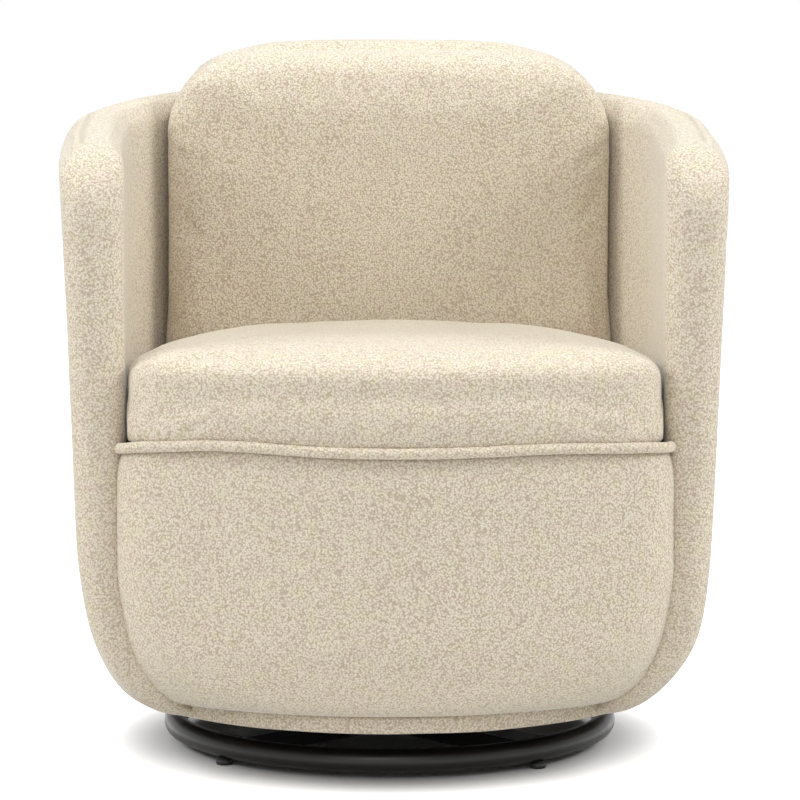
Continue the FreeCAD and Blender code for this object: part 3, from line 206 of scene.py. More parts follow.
class Wall:
    """The shell wall seen from above at one height."""

    def __init__(self, z):
        down = clamp((TUCK - z) / (TUCK - UNDERSIDE))
        tucked = 1 - math.sqrt(1 - down * down)
        self.width = BODY_RADIUS - BODY_TAPER * (SHOULDER - z) - INNER_RADIUS
        self.outer = self.width + INNER_RADIUS - TUCK_SIDE * tucked
        dx = ARM_TAPER + (TUCK_CORNER - TUCK_SIDE) * tucked
        self.dy = ARM_FRONT + BODY_CENTRE - TUCK_FRONT * tucked
        self.bend = (dx * dx + self.dy * self.dy) / (2 * dx)
        self.centre_x = self.outer - self.bend

    def arm(self, inset, turn):
        radius = self.bend - inset
        return np.stack([self.centre_x + radius * np.cos(turn), BODY_CENTRE - radius * np.sin(turn)], -1)

    def limit(self, points, clearance):
        """Moves points seen from above inside the inner face of the wall."""
        side = np.sign(points[:, 0]) + (points[:, 0] == 0)
        x, y = np.abs(points[:, 0]), points[:, 1]
        back = y > BODY_CENTRE
        centre = np.where(back, 0.0, self.centre_x)
        reach = np.where(back, self.outer - self.width, self.bend - self.width) - clearance
        away = np.hypot(x - centre, y - BODY_CENTRE)
        share = np.minimum(1.0, reach / np.maximum(away, 1e-6))
        x, y = centre + (x - centre) * share, BODY_CENTRE + (y - BODY_CENTRE) * share
        return np.stack([x * side, y], -1)


BACK_STEPS, ARM_STEPS, CORNER_STEPS, FLAT_STEPS = 72, 26, 8, 4


def wall_loop(z, inset, end_inset, tilt=0.0):
    """One layer of the shell: outer side from the right front to the left front, then back inside."""
    wall = Wall(z)
    width = wall.width - 2 * inset
    corner = max(min(ARM_CORNER - end_inset, 0.45 * width), 0.08 * width)
    end = math.asin(wall.dy / wall.bend) - (end_inset + corner) / wall.bend
    turns = end * (1 - np.linspace(0, 1, ARM_STEPS + 1))[:-1]

    def side(depth):
        right = wall.arm(depth, turns)
        back = arc((0, BODY_CENTRE), wall.outer - depth, 0, PI, BACK_STEPS)
        return np.concatenate([right, back, right[::-1] * np.array([-1, 1])])

    outer_corner = arc(wall.arm(inset + corner, end), corner, -end, -end - PI / 2, CORNER_STEPS)[1:]
    inner_corner = arc(wall.arm(inset + width - corner, end), corner, -end - PI / 2, -end - PI, CORNER_STEPS)
    flat = line(outer_corner[-1], inner_corner[0], FLAT_STEPS)
    front = np.concatenate([outer_corner, flat, inner_corner[1:-1]])
    left_front = front * np.array([-1, 1])
    loop = np.concatenate([side(inset), left_front, side(inset + width)[::-1], front[::-1]])
    points = at_height(loop, z)
    points[:, 2] += points[:, 1] * math.sin(tilt)
    points[:, 1] *= math.cos(tilt)
    return points


def across_wall(points):
    """For each point of a shell layer, the middle between it and its partner across the wall."""
    along = 2 * ARM_STEPS + BACK_STEPS + 1
    end = (len(points) - 2 * along) // 2
    partner = np.arange(len(points))
    partner[:along] = along + end + np.arange(along)[::-1]
    partner[along + end:2 * along + end] = np.arange(along)[::-1]
    partner[along:along + end] = along + np.arange(end)[::-1]
    partner[2 * along + end:] = 2 * along + end + np.arange(end)[::-1]
    return (points + points[partner]) / 2


def make_shell():
    """The barrel shell in one padded piece: sides, back, arm fronts and rounded rim."""
    low = [wall_loop(z, 0, 0) for z in TUCK - (TUCK - UNDERSIDE) * np.sin(np.linspace(PI / 2, 0, 19))]
    shoulder = wall_loop(SHOULDER, 0, 0, RIM_TILT)
    rows = []
    middle = across_wall(low[0])
    for share in (1.0, 0.7, 0.35, 0.1):
        rows.append(low[0] * (1 - share) + middle * share + np.array([0, 0, 2.0 * min(share * 3, 1)]))
    rows += low
    for share in np.linspace(0, 1, 33)[1:]:
        rows.append(low[-1] * (1 - share) + shoulder * share)
    for turn in np.linspace(0, PI / 2, 13)[1:]:
        rise, inset = RIM_ROUND * math.sin(turn), RIM_ROUND * (1 - math.cos(turn))
        layer = wall_loop(SHOULDER, inset, inset, RIM_TILT)
        rows.append(layer + np.array([0, 0, rise]))
    crest = rows[-1]
    middle = across_wall(crest)
    for share in (0.35, 0.7, 1.0):
        rows.append(crest * (1 - share) + middle * share + np.array([0, 0, 0.6 * share]))
    piece = loft("shell", rows, merge=0.00012)
    subdivided(piece)
    points, normals = points_of(piece), normals_of(piece)
    points[:, 1] += rolled_back(points)
    points[:, 0] += fuller_below(points)
    points[:, 2] -= outer_fall(points)
    soft = 0.5 * waves(points, 90.0, 1) + 0.7 * waves(points, 220.0, 2)
    rim = SHOULDER + points[:, 1] * math.tan(RIM_TILT)
    above = (points[:, 2] - rim) / RIM_ROUND
    # The seam that joins the outside cloth to the rim runs along the outer shoulder.
    outward = np.hypot(points[:, 0], np.maximum(points[:, 1] - BODY_CENTRE, 0))
    outside = outward > INNER_RADIUS + 33
    seam = np.where(outside, np.abs(above - SEAM_RISE) * RIM_ROUND, NO_SEAM)
    groove = SEAM_DEPTH * np.exp(-(seam / SEAM_WIDTH) ** 2) - SEAM_RIDGE * np.exp(-((seam - 5) / 3.0) ** 2)
    points += normals * (soft - groove)[:, None]
    move_points(piece, points)
    # The distance to the seam also paints shade into the cloth's colour along the groove.
    mark(piece, seam)
    return piece


def outer_fall(points):
    """How far the rim drops towards its outer side, most beside the arms."""
    centre_x = Wall(SHOULDER).centre_x
    x, y = np.abs(points[:, 0]), points[:, 1]
    arm = y < BODY_CENTRE
    away = np.hypot(x - np.where(arm, centre_x, 0.0), y - BODY_CENTRE)
    outer = np.where(arm, BODY_RADIUS - centre_x, BODY_RADIUS)
    share = 1 - (outer - away) / RIM_FALL_WIDTH
    rim = RIM_HEIGHT + y * math.tan(RIM_TILT)
    near_rim = eased((points[:, 2] - rim + 75) / 65)
    return RIM_FALL * eased(share) * near_rim * (1 - 0.55 * eased(y / 330))


def fuller_below(points):
    """How far the lower sides bulge, more on the right as in the photo; the shift of each x."""
    away = np.hypot(points[:, 0], points[:, 1] - BODY_CENTRE)
    x, z = points[:, 0], points[:, 2]
    outside = eased((away - 0.86 * BODY_RADIUS) / 20) * eased((np.abs(x) - 60) / 140)
    amount = np.where(x > 0, BULGE_RIGHT, BULGE_LEFT) * np.exp(-((z - BULGE_HEIGHT) / BULGE_SPREAD) ** 2)
    return np.sign(x) * amount * outside


def rolled_back(points):
    """How far the tops of the arm fronts roll back, in a larger round than the rest of the rim."""
    depth = RIM_HEIGHT + points[:, 1] * math.tan(RIM_TILT) - points[:, 2]

    def recess(size):
        return size - np.sqrt(np.clip(size ** 2 - np.clip(size - depth, 0, size) ** 2, 0, None))

    near, far = recess(RIM_ROUND), recess(FRONT_ROUND)
    behind = np.clip(1 - (points[:, 1] + ARM_FRONT - near) / FRONT_ROUND_DEPTH, 0, 1)
    return (far - near) * behind ** 2


def mark(piece, distance=NO_SEAM):
    """Keeps each point's distance to the nearest seam, in millimetres, which the cloth's material uses to
    paint shade along the seam.
    """
    layer = piece.data.attributes.new("seam", "FLOAT", "POINT")
    distance = np.zeros(len(piece.data.vertices)) + distance
    layer.data.foreach_set("value", np.clip(distance, 0, 40).astype(np.float32))


# ---------------------------------------------------------------- cushions

def front_loop(z, half, reach, bow, corner, back, inset, side_bow=0.0, least=12.0):
    """Right side of a bowed front: from the middle of the front round the corner to the back."""
    half, reach, bow, corner = half - inset, reach - inset, bow - inset, max(corner - inset, least)
    centre = np.array([0, bow - reach])
    corner_x = half - corner
    corner_centre = np.array([corner_x, centre[1] - math.sqrt((bow - corner) ** 2 - corner_x ** 2)])
    towards = corner_centre - centre
    meet = math.atan2(towards[1], towards[0])
    front = arc(centre, bow, -PI / 2, meet, 26)
    front[0, 0] = 0
    turn = arc(corner_centre, corner, meet, 0, 16)[1:]
    share = np.linspace(0, 1, 31)[1:]
    side_x = half + 4 * side_bow * share * (1 - share)
    side = np.stack([side_x, turn[-1, 1] + (back - turn[-1, 1]) * share], -1)
    return at_height(np.concatenate([front, turn, side]), z)


def relaxed(piece):
    """Even quads over the whole piece, smoothed a little, as a base for cloth and seams."""
    step = piece.modifiers.new("even", "REMESH")
    step.mode, step.voxel_size, step.use_smooth_shade = "VOXEL", CLOTH_QUAD, True
    step = piece.modifiers.new("smooth", "LAPLACIANSMOOTH")
    step.iterations, step.lambda_factor = 4, 0.35
    settle(piece)


def puffed(piece, cap, pinned):
    """Fills the piece with air by a short cloth simulation; no point moves further than cap."""
    before = points_of(piece)
    cloth = piece.modifiers.new("cloth", "CLOTH")
    settings = cloth.settings
    settings.quality, settings.mass = 6, 0.3
    settings.use_pressure, settings.uniform_pressure_force = True, CLOTH_PRESSURE
    settings.effector_weights.gravity = 0
    settings.tension_stiffness = settings.compression_stiffness = 25
    settings.bending_stiffness = 2.0
    group = piece.vertex_groups.new(name="held")
    for index in np.nonzero(pinned)[0].tolist():
        group.add([index], 1.0, "REPLACE")
    settings.vertex_group_mass = "held"
    for step in range(1, CLOTH_STEPS + 1):
        scene.frame_set(step)
    settle(piece)
    scene.frame_set(1)
    after = points_of(piece)
    move = after - before
    length = np.linalg.norm(move, axis=1)
    share = np.minimum(1.0, cap / np.maximum(length, 1e-9))
    move_points(piece, before + move * share[:, None])


def pillow_loop(z):
    """The right side of the back pillow at one height."""
    shoulder = PILLOW_HEIGHT - PILLOW_CORNER
    rise = clamp(z - shoulder, 0, PILLOW_CORNER)
    half = PILLOW_HALF - PILLOW_CORNER + math.sqrt(PILLOW_CORNER ** 2 - rise ** 2)
    rise = clamp(z - PILLOW_HEIGHT + PILLOW_EDGE, 0, PILLOW_EDGE)
    recess = PILLOW_EDGE - math.sqrt(PILLOW_EDGE ** 2 - rise ** 2)
    share = clamp((z - shoulder + 20) / (PILLOW_CORNER + 20))
    edge = PILLOW_SIDE + (PILLOW_TOP - PILLOW_SIDE) * share
    front, back_radius = PILLOW_FRONT + recess, INNER_RADIUS + PILLOW_OVERHANG - recess
    flat = half - edge
    x = np.linspace(0, flat, 25)
    face = np.stack([x, front - PILLOW_CROWN * (1 - (x / flat) ** 2)], -1)
    turn = arc((flat, front + edge), edge, -PI / 2, 0, 10)[1:]
    first = math.acos(half / back_radius)
    back = arc((0, BODY_CENTRE), back_radius, first, PI / 2, 34)
    back[-1, 0] = 0
    return at_height(np.concatenate([face, turn, back]), z)


def make_pillow():
    shoulder = PILLOW_HEIGHT - PILLOW_CORNER
    heights = list(np.linspace(WELT_HEIGHT + GAP, shoulder - 20, 40))
    heights += list(np.linspace(shoulder - 20, shoulder, 5)[1:])
    heights += [shoulder + PILLOW_CORNER * math.sin(turn) for turn in np.linspace(0, PI / 2, 30)[1:]]
    piece = loft("back_pillow", [mirrored(pillow_loop(z)) for z in heights], True, True)
    relaxed(piece)
    points = points_of(piece)
    puffed(piece, PILLOW_SWELL, points[:, 2] < 400)
    fit_pillow(piece)
    subdivided(piece)
    points, normals = points_of(piece), normals_of(piece)
    # Its left edge lies a little further in than its right one, and its top falls to the corners.
    points[:, 0] += 5.0 * np.clip(-points[:, 0] / PILLOW_HALF, 0, 1) ** 4 * (points[:, 1] < 200)
    points[:, 2] -= 2.5 * eased((np.abs(points[:, 0]) - 80) / 120) * eased((points[:, 2] - 600) / 120)
    visible = np.clip((points[:, 2] - 440) / 60, 0, 1)
    soft = 0.6 * waves(points, 70.0, 3) + 0.9 * waves(points, 180.0, 4)
    move_points(piece, points + normals * (soft * visible)[:, None])
    mark(piece)
    return piece


def fit_pillow(piece):
    """Keeps the pillow inside the shell, where the shell holds it."""
    points = points_of(piece)
    rim = SHOULDER + points[:, 1] * math.tan(RIM_TILT)
    u = np.clip((points[:, 2] - rim) / RIM_ROUND, 0, 1)
    room = RIM_ROUND * (1 - np.sqrt(1 - u * u)) + np.where(u >= 1, 60.0, 0.0)
    away = np.hypot(points[:, 0], points[:, 1] - BODY_CENTRE)
    reach = INNER_RADIUS - 2 * CLEAR + room
    share = np.minimum(1.0, reach / np.maximum(away, 1e-6))
    points[:, 0] *= share
    points[:, 1] = BODY_CENTRE + (points[:, 1] - BODY_CENTRE) * share
    move_points(piece, points)


def pillow_face(x):
    """How far behind the axis the front of the pillow stands, at its foot."""
    flat = PILLOW_HALF - PILLOW_SIDE
    return PILLOW_FRONT - PILLOW_CROWN * np.clip(1 - (x / flat) ** 2, 0, 1)


def sag(points):
    """How far the sewn line between seat and front wanders up at each point, as cloth does."""
    x, off = points[:, 0], np.abs(points[:, 2] - WELT_HEIGHT)
    rise = sum(height * np.exp(-((x - place) / spread) ** 2) for height, place, spread in LINE_WAVES)
    return rise * np.exp(-(off / 26) ** 2) * (points[:, 1] < -200)


def fallen(points):
    """Drops the crown of the seat towards the pillow and to its sides."""
    low = WELT_HEIGHT + 16
    share = np.clip((points[:, 2] - low) / (SEAT_HEIGHT - SEAT_ROUND - low), 0, 1)
    front = SEAT_CROWN_WIDTH - SEAT_FRONT
    drop = SEAT_BACK_FALL * np.clip((points[:, 1] - front) / (SEAT_BACK - front), 0, 1) ** 1.4
    back = np.clip((points[:, 1] + SEAT_FRONT) / (SEAT_BACK + SEAT_FRONT), 0, 1)
    drop += SEAT_SIDE_FALL * (points[:, 0] / SEAT_HALF) ** 2 * back
    points = points.copy()
    points[:, 2] -= share * drop
    return points


def make_seat():
    shoulder = SEAT_HEIGHT - SEAT_ROUND
    rows = [(WELT_HEIGHT, 9), (WELT_HEIGHT + 2, 5.5), (WELT_HEIGHT + 5, 3), (WELT_HEIGHT + 9, 1.2)]
    rows += [(z, 0) for z in np.linspace(WELT_HEIGHT + 16, shoulder, 7)]
    rows += [(shoulder + SEAT_ROUND * math.sin(t), SEAT_ROUND * (1 - math.cos(t)))
             for t in np.radians(np.linspace(0, 65, 12))[1:]]
    low, start = rows[-1]
    top = SEAT_HEIGHT + SEAT_CROWN
    for share in np.linspace(0, 1, 14)[1:]:
        rows.append((low + (top - low) * (1 - (1 - share) ** 2),
                     start + (SEAT_CROWN_WIDTH - start) * share))
    loops = []
    for z, inset in rows:
        right = front_loop(z, SEAT_HALF, SEAT_FRONT, SEAT_BOW, SEAT_CORNER, SEAT_BACK, inset,
                           SEAT_SIDE_BOW, 12 + 0.25 * inset)
        back = at_height(line(right[-1, :2], (0, SEAT_BACK), 12), z)
        loops.append(fallen(mirrored(np.concatenate([right, back]))))
    piece = loft("seat_cushion", loops, True, True)
    relaxed(piece)
    points = points_of(piece)
    puffed(piece, SEAT_SWELL, points[:, 2] < WELT_HEIGHT + 6)
    points = points_of(piece)
    points[:, :2] = Wall(TUCK).limit(points[:, :2], CLEAR)
    points[:, 1] = np.minimum(points[:, 1], pillow_face(points[:, 0]) - CLEAR)
    move_points(piece, points)
    subdivided(piece)
    points, normals = points_of(piece), normals_of(piece)
    soft = 0.5 * waves(points, 80.0, 5) + 0.8 * waves(points, 200.0, 6)
    soft *= np.clip((points[:, 2] - WELT_HEIGHT - 4) / 20, 0, 1)
    points += normals * soft[:, None]
    points[:, 2] += sag(points)
    move_points(piece, points)
    mark(piece)
    return piece


def pad_sizes(z):
    """The front pad's half width, reach, bow and corner at one height."""
    down = clamp((PAD_TUCK_HEIGHT - z) / (PAD_TUCK_HEIGHT - UNDERSIDE))
    fall = max(PAD_ROUND - z, 0.0)
    reach = SEAT_FRONT - PAD_TUCK_RADIUS + math.sqrt(PAD_TUCK_RADIUS ** 2 - fall ** 2)
    return (PAD_HALF - PAD_SIDE_TUCK * down, reach, SEAT_BOW - (SEAT_BOW - PAD_BOTTOM_BOW) * down ** 1.2,
            SEAT_CORNER + (PAD_BOTTOM_CORNER - SEAT_CORNER) * down ** 1.5)


def pad_loop(z, inset):
    """The front pad at one height: outer face from right to left, then its back."""
    half, reach, bow, corner = pad_sizes(z)
    right = front_loop(z, half, reach, bow, corner, -PAD_BACK, inset)
    # Behind the arms' fronts the panel stays inside the shell's wall.
    wall = Wall(z)
    behind = right[:, 1] > BODY_CENTRE - wall.dy + 20
    right[behind, :2] = wall.limit(right[:, :2], 1.0)[behind]
    outer = np.concatenate([right[::-1], right[1:] * np.array([-1, 1, 1])])
    inner = outer.copy()
    depth = PAD_DEPTH - inset
    inner[:, 0] = outer[:, 0] * (1 - depth / half)
    inner[:, 1] = np.maximum(outer[:, 1] + depth * 0.2, -BOARD_BACK)
    inner[:, 1] = np.where(outer[:, 1] > -BOARD_BACK, outer[:, 1], inner[:, 1])
    return np.concatenate([outer, inner[::-1]])


def make_pad():
    foot = UNDERSIDE + BAND_HEIGHT
    rows = [(foot, 8), (foot + 1, 4), (foot + 4, 1.5), (foot + 8, 0.4), (foot + 14, 0)]
    rows += [(z, 0) for z in np.linspace(foot + 20, PAD_TUCK_HEIGHT, 24)]
    rows += [(z, 0) for z in np.linspace(PAD_TUCK_HEIGHT, WELT_HEIGHT - 40, 12)[1:]]
    # The top edge rounds in towards the piping.
    rows += [(WELT_HEIGHT - down, inset) for down, inset in (
        (32, 0.5), (24, 1.3), (17, 2.5), (11, 4.2), (6, 6.5), (2.5, 9.5), (1, 14))]
    loops = [pad_loop(z, inset) for z, inset in rows]
    partner = np.arange(len(loops[0]))[::-1]
    first, last = loops[0], loops[-1]
    loops.insert(0, (first + first[partner]) / 2)
    loops.append((last + last[partner]) / 2)
    piece = loft("front_panel", loops, merge=0.00012)
    subdivided(piece)
    points, normals = points_of(piece), normals_of(piece)
    soft = 0.5 * waves(points, 80.0, 7) + 0.9 * waves(points, 200.0, 8)
    soft *= np.clip((WELT_HEIGHT - 6 - points[:, 2]) / 20, 0, 1)
    soft *= np.clip((points[:, 2] - foot) / 20, 0, 1)
    points += normals * soft[:, None]
    points[:, 2] += sag(points)
    move_points(piece, points)
    mark(piece)
    return piece


def tube(name, path, radius, sides=16, closed=False, ends=0.0, upward=(0.0, 0.0, 1.0)):
    """A round section swept along a path in millimetres, with rounded ends."""
    path = np.asarray(path, float)
    if closed:
        tangent = np.roll(path, -1, 0) - np.roll(path, 1, 0)
    else:
        tangent = np.gradient(path, axis=0)
    tangent /= np.linalg.norm(tangent, axis=1)[:, None]
    up = np.tile(upward, (len(path), 1))
    across = np.cross(tangent, up)
    across /= np.linalg.norm(across, axis=1)[:, None]
    above = np.cross(across, tangent)
    size = np.full(len(path), float(radius))
    if ends:
        run = np.concatenate([[0], np.cumsum(np.linalg.norm(np.diff(path, axis=0), axis=1))])
        near = np.minimum(run, run[-1] - run)
        size *= np.sqrt(np.clip(1 - np.clip(1 - near / ends, 0, 1) ** 2, 0.02, 1))
    turn = np.linspace(0, 2 * PI, sides, endpoint=False)
    rows = (path[:, None] + size[:, None, None] * (np.cos(turn)[None, :, None] * across[:, None]
            + np.sin(turn)[None, :, None] * above[:, None]))
    if closed:
        rows = np.concatenate([rows, rows[:1]])
    return loft(name, rows, not closed, not closed, 0.00001)


def make_welt():
    right = front_loop(WELT_HEIGHT, WELT_HALF, SEAT_FRONT - WELT_INSET, SEAT_BOW - WELT_INSET,
                       SEAT_CORNER - WELT_INSET, -WELT_END, 0)
    path = np.concatenate([right[::-1], right[1:] * np.array([-1, 1, 1])])
    path[:, 2] += sag(path)
    piece = tube("seat_piping", path, WELT_RADIUS, 18, ends=6.0)
    subdivided(piece)
    points, normals = points_of(piece), normals_of(piece)
    move_points(piece, points + normals * (0.35 * waves(points, 14.0, 9))[:, None])
    mark(piece)
    return piece


def make_band():
    """The band along the lower edge of the front, a thin padded strip."""
    end = math.asin(BAND_REACH / BAND_RADIUS)
    turns = np.linspace(-end, end - PI, 110)
    edge = 4
    near, far = PANEL_RADIUS + 5, BAND_RADIUS - edge
    low, high = UNDERSIDE + edge, UNDERSIDE + BAND_HEIGHT - edge
    centres = ((far, low), (far, high), (near, high), (near, low))
    away, height = np.concatenate([arc(centre, edge, (k - 1) * PI / 2, k * PI / 2, 4)
                                   for k, centre in enumerate(centres)]).T
    rows = [np.stack([away * math.cos(turn), away * math.sin(turn), height], -1) for turn in turns]
    piece = loft("lower_band", rows, True, True)
    subdivided(piece)
    points, normals = points_of(piece), normals_of(piece)
    move_points(piece, points + normals * (0.5 * waves(points, 60.0, 10))[:, None])
    mark(piece)
    return piece


# ---------------------------------------------------------------- base and underside

RING_RADIUS, RING_TUBE, RING_CENTRE, ARM_TURN = 237.5, 12.5, 20.5, math.radians(40.4)
BAR_HALF_WIDTH, BAR_HALF_DEPTH, GLIDE_RADIUS, GLIDE_TOP = 20.0, 10.0, 9.0, 8.0
PANEL_BOTTOM, DUST_RADIUS, WINDOW_X, WINDOW_Y = 62.0, 267.0, 111.0, 142.0
RAIL_TOP, RAIL_HALF, RAIL_FRONT, RAIL_BACK = 353.0, 252.0, 245.0, 152.0
STRAP, STRAP_THICK, LONG_STRAPS, CROSS_STRAPS = 60.0, 2.0, 5, 4


def joined(name, parts):
    """One piece from the meshes of several."""
    shape = bmesh.new()
    for part in parts:
        shape.from_mesh(part.data)
        mesh = part.data
        bpy.data.objects.remove(part)
        bpy.data.meshes.remove(mesh)
    mesh = bpy.data.meshes.new(name)
    shape.to_mesh(mesh)
    shape.free()
    mesh.polygons.foreach_set("use_smooth", [True] * len(mesh.polygons))
    piece = bpy.data.objects.new(name, mesh)
    scene.collection.objects.link(piece)
    return piece


def turned(name, profile, centre):
    """A profile of radius and height turned about an upright axis, closed at both ends."""
    turn = np.linspace(0, 2 * PI, 32, endpoint=False)
    rows = [at_height(np.stack([centre[0] + r * np.cos(turn), centre[1] + r * np.sin(turn)], -1), z)
            for r, z in profile]
    return loft(name, rows, True, True)


def make_ring():
    """The bent tube of the base, with a weld bead round the end of each cross bar."""
    turn = np.linspace(0, 2 * PI, 180, endpoint=False)
    path = at_height(RING_RADIUS * np.stack([np.cos(turn), np.sin(turn)], -1), RING_CENTRE)
    parts = [tube("ring_tube", path, RING_TUBE, 32, closed=True)]
    corner, bead = 2.5, 1.9
    wide, deep = BAR_HALF_WIDTH, BAR_HALF_DEPTH
    across = rounded(-wide, wide, -deep, deep, corner, 4)
    across = np.concatenate([line(a, b, 8) for a, b in zip(across, np.roll(across, -1, 0))])
    for quarter in range(4):
        angle = ARM_TURN + quarter * PI / 2
        ahead = np.array([math.cos(angle), math.sin(angle)])
        aside = np.array([-ahead[1], ahead[0]])
        near = RING_RADIUS - np.sqrt(RING_TUBE ** 2 - across[:, 1] ** 2)
        along = np.sqrt(near ** 2 - across[:, 0] ** 2)
        spots = along[:, None] * ahead + across[:, :1] * aside
        path = np.concatenate([spots, RING_CENTRE + across[:, 1:]], -1)
        weld = tube("weld", path, bead, 8, closed=True, upward=(*ahead, 0.0))
        points, normals = points_of(weld), normals_of(weld)
        move_points(weld, points + normals * (0.55 * waves(points, 2.6, 20 + quarter))[:, None])
        parts.append(weld)
    return joined("base_tube", parts)


def make_glides():
    """Four plastic caps under the ring, one below the end of each cross bar."""
    profile = [(3, 0), (6.5, 0), (8.2, 0.5), (GLIDE_RADIUS, 1.8), (GLIDE_RADIUS, 5.0), (8.0, 6.4),
               (6.2, 7.0), (5.6, GLIDE_TOP), (2.5, GLIDE_TOP)]
    turns = [ARM_TURN + k * PI / 2 for k in range(4)]
    spots = [(RING_RADIUS * math.cos(turn), RING_RADIUS * math.sin(turn)) for turn in turns]
    return joined("floor_glide_caps", [turned("glide", profile, spot) for spot in spots])


def make_dust_sheet():
    """Thin cloth stapled under the bottom panel, with a window for the battens."""
    steps = 96
    turn = np.linspace(0, 2 * PI, steps, endpoint=False)
    edge = np.stack([np.cos(turn), np.sin(turn)], -1)
    reach = np.minimum(WINDOW_X / np.maximum(np.abs(edge[:, 0]), 1e-9),
                       WINDOW_Y / np.maximum(np.abs(edge[:, 1]), 1e-9))
    inner, outer = edge * reach[:, None], edge * DUST_RADIUS
    lower = []
    for share in np.linspace(0, 1, 13):
        points = at_height(inner * (1 - share) + outer * share, PANEL_BOTTOM - 0.75)
        points[:, 2] += (0.2 * waves(points, 30.0, 31) - 0.05) * math.sin(PI * share)
        lower.append(points)
    upper = [row + np.array([0, 0, 0.35]) for row in lower]
    return loft("underside_cloth", lower + upper[::-1] + lower[:1], merge=0.00002)


def strip(x0, x1, y0, y1, z, seed):
    """A woven strap lying flat, slightly uneven, with rounded edges."""
    along_x = x1 - x0 > y1 - y0
    length = max(x1 - x0, y1 - y0)
    half, middle = min(x1 - x0, y1 - y0) / 2, ((y0 + y1) / 2 if along_x else (x0 + x1) / 2)
    top = [(across, 1.0) for across in np.linspace(-half + 5, half - 5, 9)]
    under = [(across, 0.0) for across in np.linspace(half - 5, 5 - half, 9)]
    section = [(-half, 0.5), (-half + 0.8, 0.9), *top, (half - 0.8, 0.9), (half, 0.5),
               (half - 0.8, 0.1), *under, (-half + 0.8, 0.1)]
    section = np.array(section)
    rows = []
    for place in np.linspace(0, length, 60):
        shift = middle + section[:, 0] * (1 - 0.004 * (1 + math.sin(place * 0.05 + seed)))
        run = np.full(len(section), (x0 if along_x else y0) + place)
        flat = (run, shift) if along_x else (shift, run)
        rows.append(np.stack([*flat, z + STRAP_THICK * (0.05 + 0.9 * section[:, 1])], -1))
    return loft("strap", rows, True, True)


def make_webbing():
    """Elastic straps over the rails: five from front to back, four across them."""
    half = STRAP / 2
    pitch = 2 * RAIL_HALF / LONG_STRAPS
    middles = [pitch * (k + 0.5) - RAIL_HALF for k in range(LONG_STRAPS)]
    long = joined("long_straps", [strip(x - half, x + half, -RAIL_FRONT, RAIL_BACK, RAIL_TOP, x)
                                  for x in middles])
    pitch = (RAIL_FRONT + RAIL_BACK) / CROSS_STRAPS
    middles = [pitch * (k + 0.5) - RAIL_FRONT for k in range(CROSS_STRAPS)]
    above = RAIL_TOP + STRAP_THICK
    cross = joined("cross_straps", [strip(-RAIL_HALF, RAIL_HALF, y - half, y + half, above, y)
                                    for y in middles])
    return long, cross


def make_felt():
    """Needled felt between the straps and the seat's foam."""
    corner, low, half = 6.0, RAIL_TOP + 2 * STRAP_THICK, RAIL_HALF - 2
    rows = []
    for inset, z in ((3.0, 0.2), (0.6, 0.4), (0.0, 1.2), (0.0, 2.8), (0.6, 3.6), (3.0, 3.8)):
        ring = rounded(inset - half, half - inset, -RAIL_FRONT + inset, RAIL_BACK - inset, corner, 5)
        rows.append(at_height(ring, low + z))
    return loft("seat_felt", rows, True, True)


# ---------------------------------------------------------------- materials

class Finish:
    """A material whose nodes are added one call at a time."""

    def __init__(self, name):
        self.material = bpy.data.materials.new(name)
        self.material.use_nodes = True
        self.tree = self.material.node_tree
        self.shader = self.tree.nodes["Principled BSDF"]
        self.place = self.add("TexCoord").outputs["Object"]

    def add(self, kind, inputs=(), **settings):
        node = self.tree.nodes.new("ShaderNode" + kind)
        for key, value in settings.items():
            setattr(node, key, value)
        for key, value in dict(inputs).items():
            self.give(node.inputs[key], value)
        return node

    def give(self, socket, value):
        if isinstance(value, bpy.types.NodeSocket):
            self.tree.links.new(value, socket)
        else:
            socket.default_value = value

    def noise(self, scale, detail=2.0, roughness=0.5, place=None):
        return self.add("TexNoise", {"Vector": place or self.place, "Scale": scale, "Detail": detail,
                                     "Roughness": roughness}).outputs["Fac"]

    def ramp(self, factor, *stops):
        node = self.add("ValToRGB", {"Fac": factor})
        ramp = node.color_ramp
        while len(ramp.elements) < len(stops):
            ramp.elements.new(0.5)
        for element, (position, colour) in zip(ramp.elements, stops):
            element.position = position
            element.color = (*colour, 1.0)
        return node.outputs["Color"]

    def math(self, operation, *values):
        node = self.add("Math", operation=operation)
        for k, value in enumerate(values):
            self.give(node.inputs[k], value)
        return node.outputs[0]

    def mix(self, factor, a, b, blend="MIX"):
        node = self.add("Mix", data_type="RGBA", blend_type=blend)
        self.give(node.inputs["Factor"], factor)
        self.give(node.inputs["A"], a)
        self.give(node.inputs["B"], b)
        return node.outputs["Result"]

    def bump(self, height, strength, distance, after=None):
        inputs = {"Height": height, "Strength": strength, "Distance": distance}
        if after is not None:
            inputs["Normal"] = after
        return self.add("Bump", inputs).outputs["Normal"]

    def shade(self, **inputs):
        for key, value in inputs.items():
            self.give(self.shader.inputs[key.replace("_", " ")], value)
        return self.material


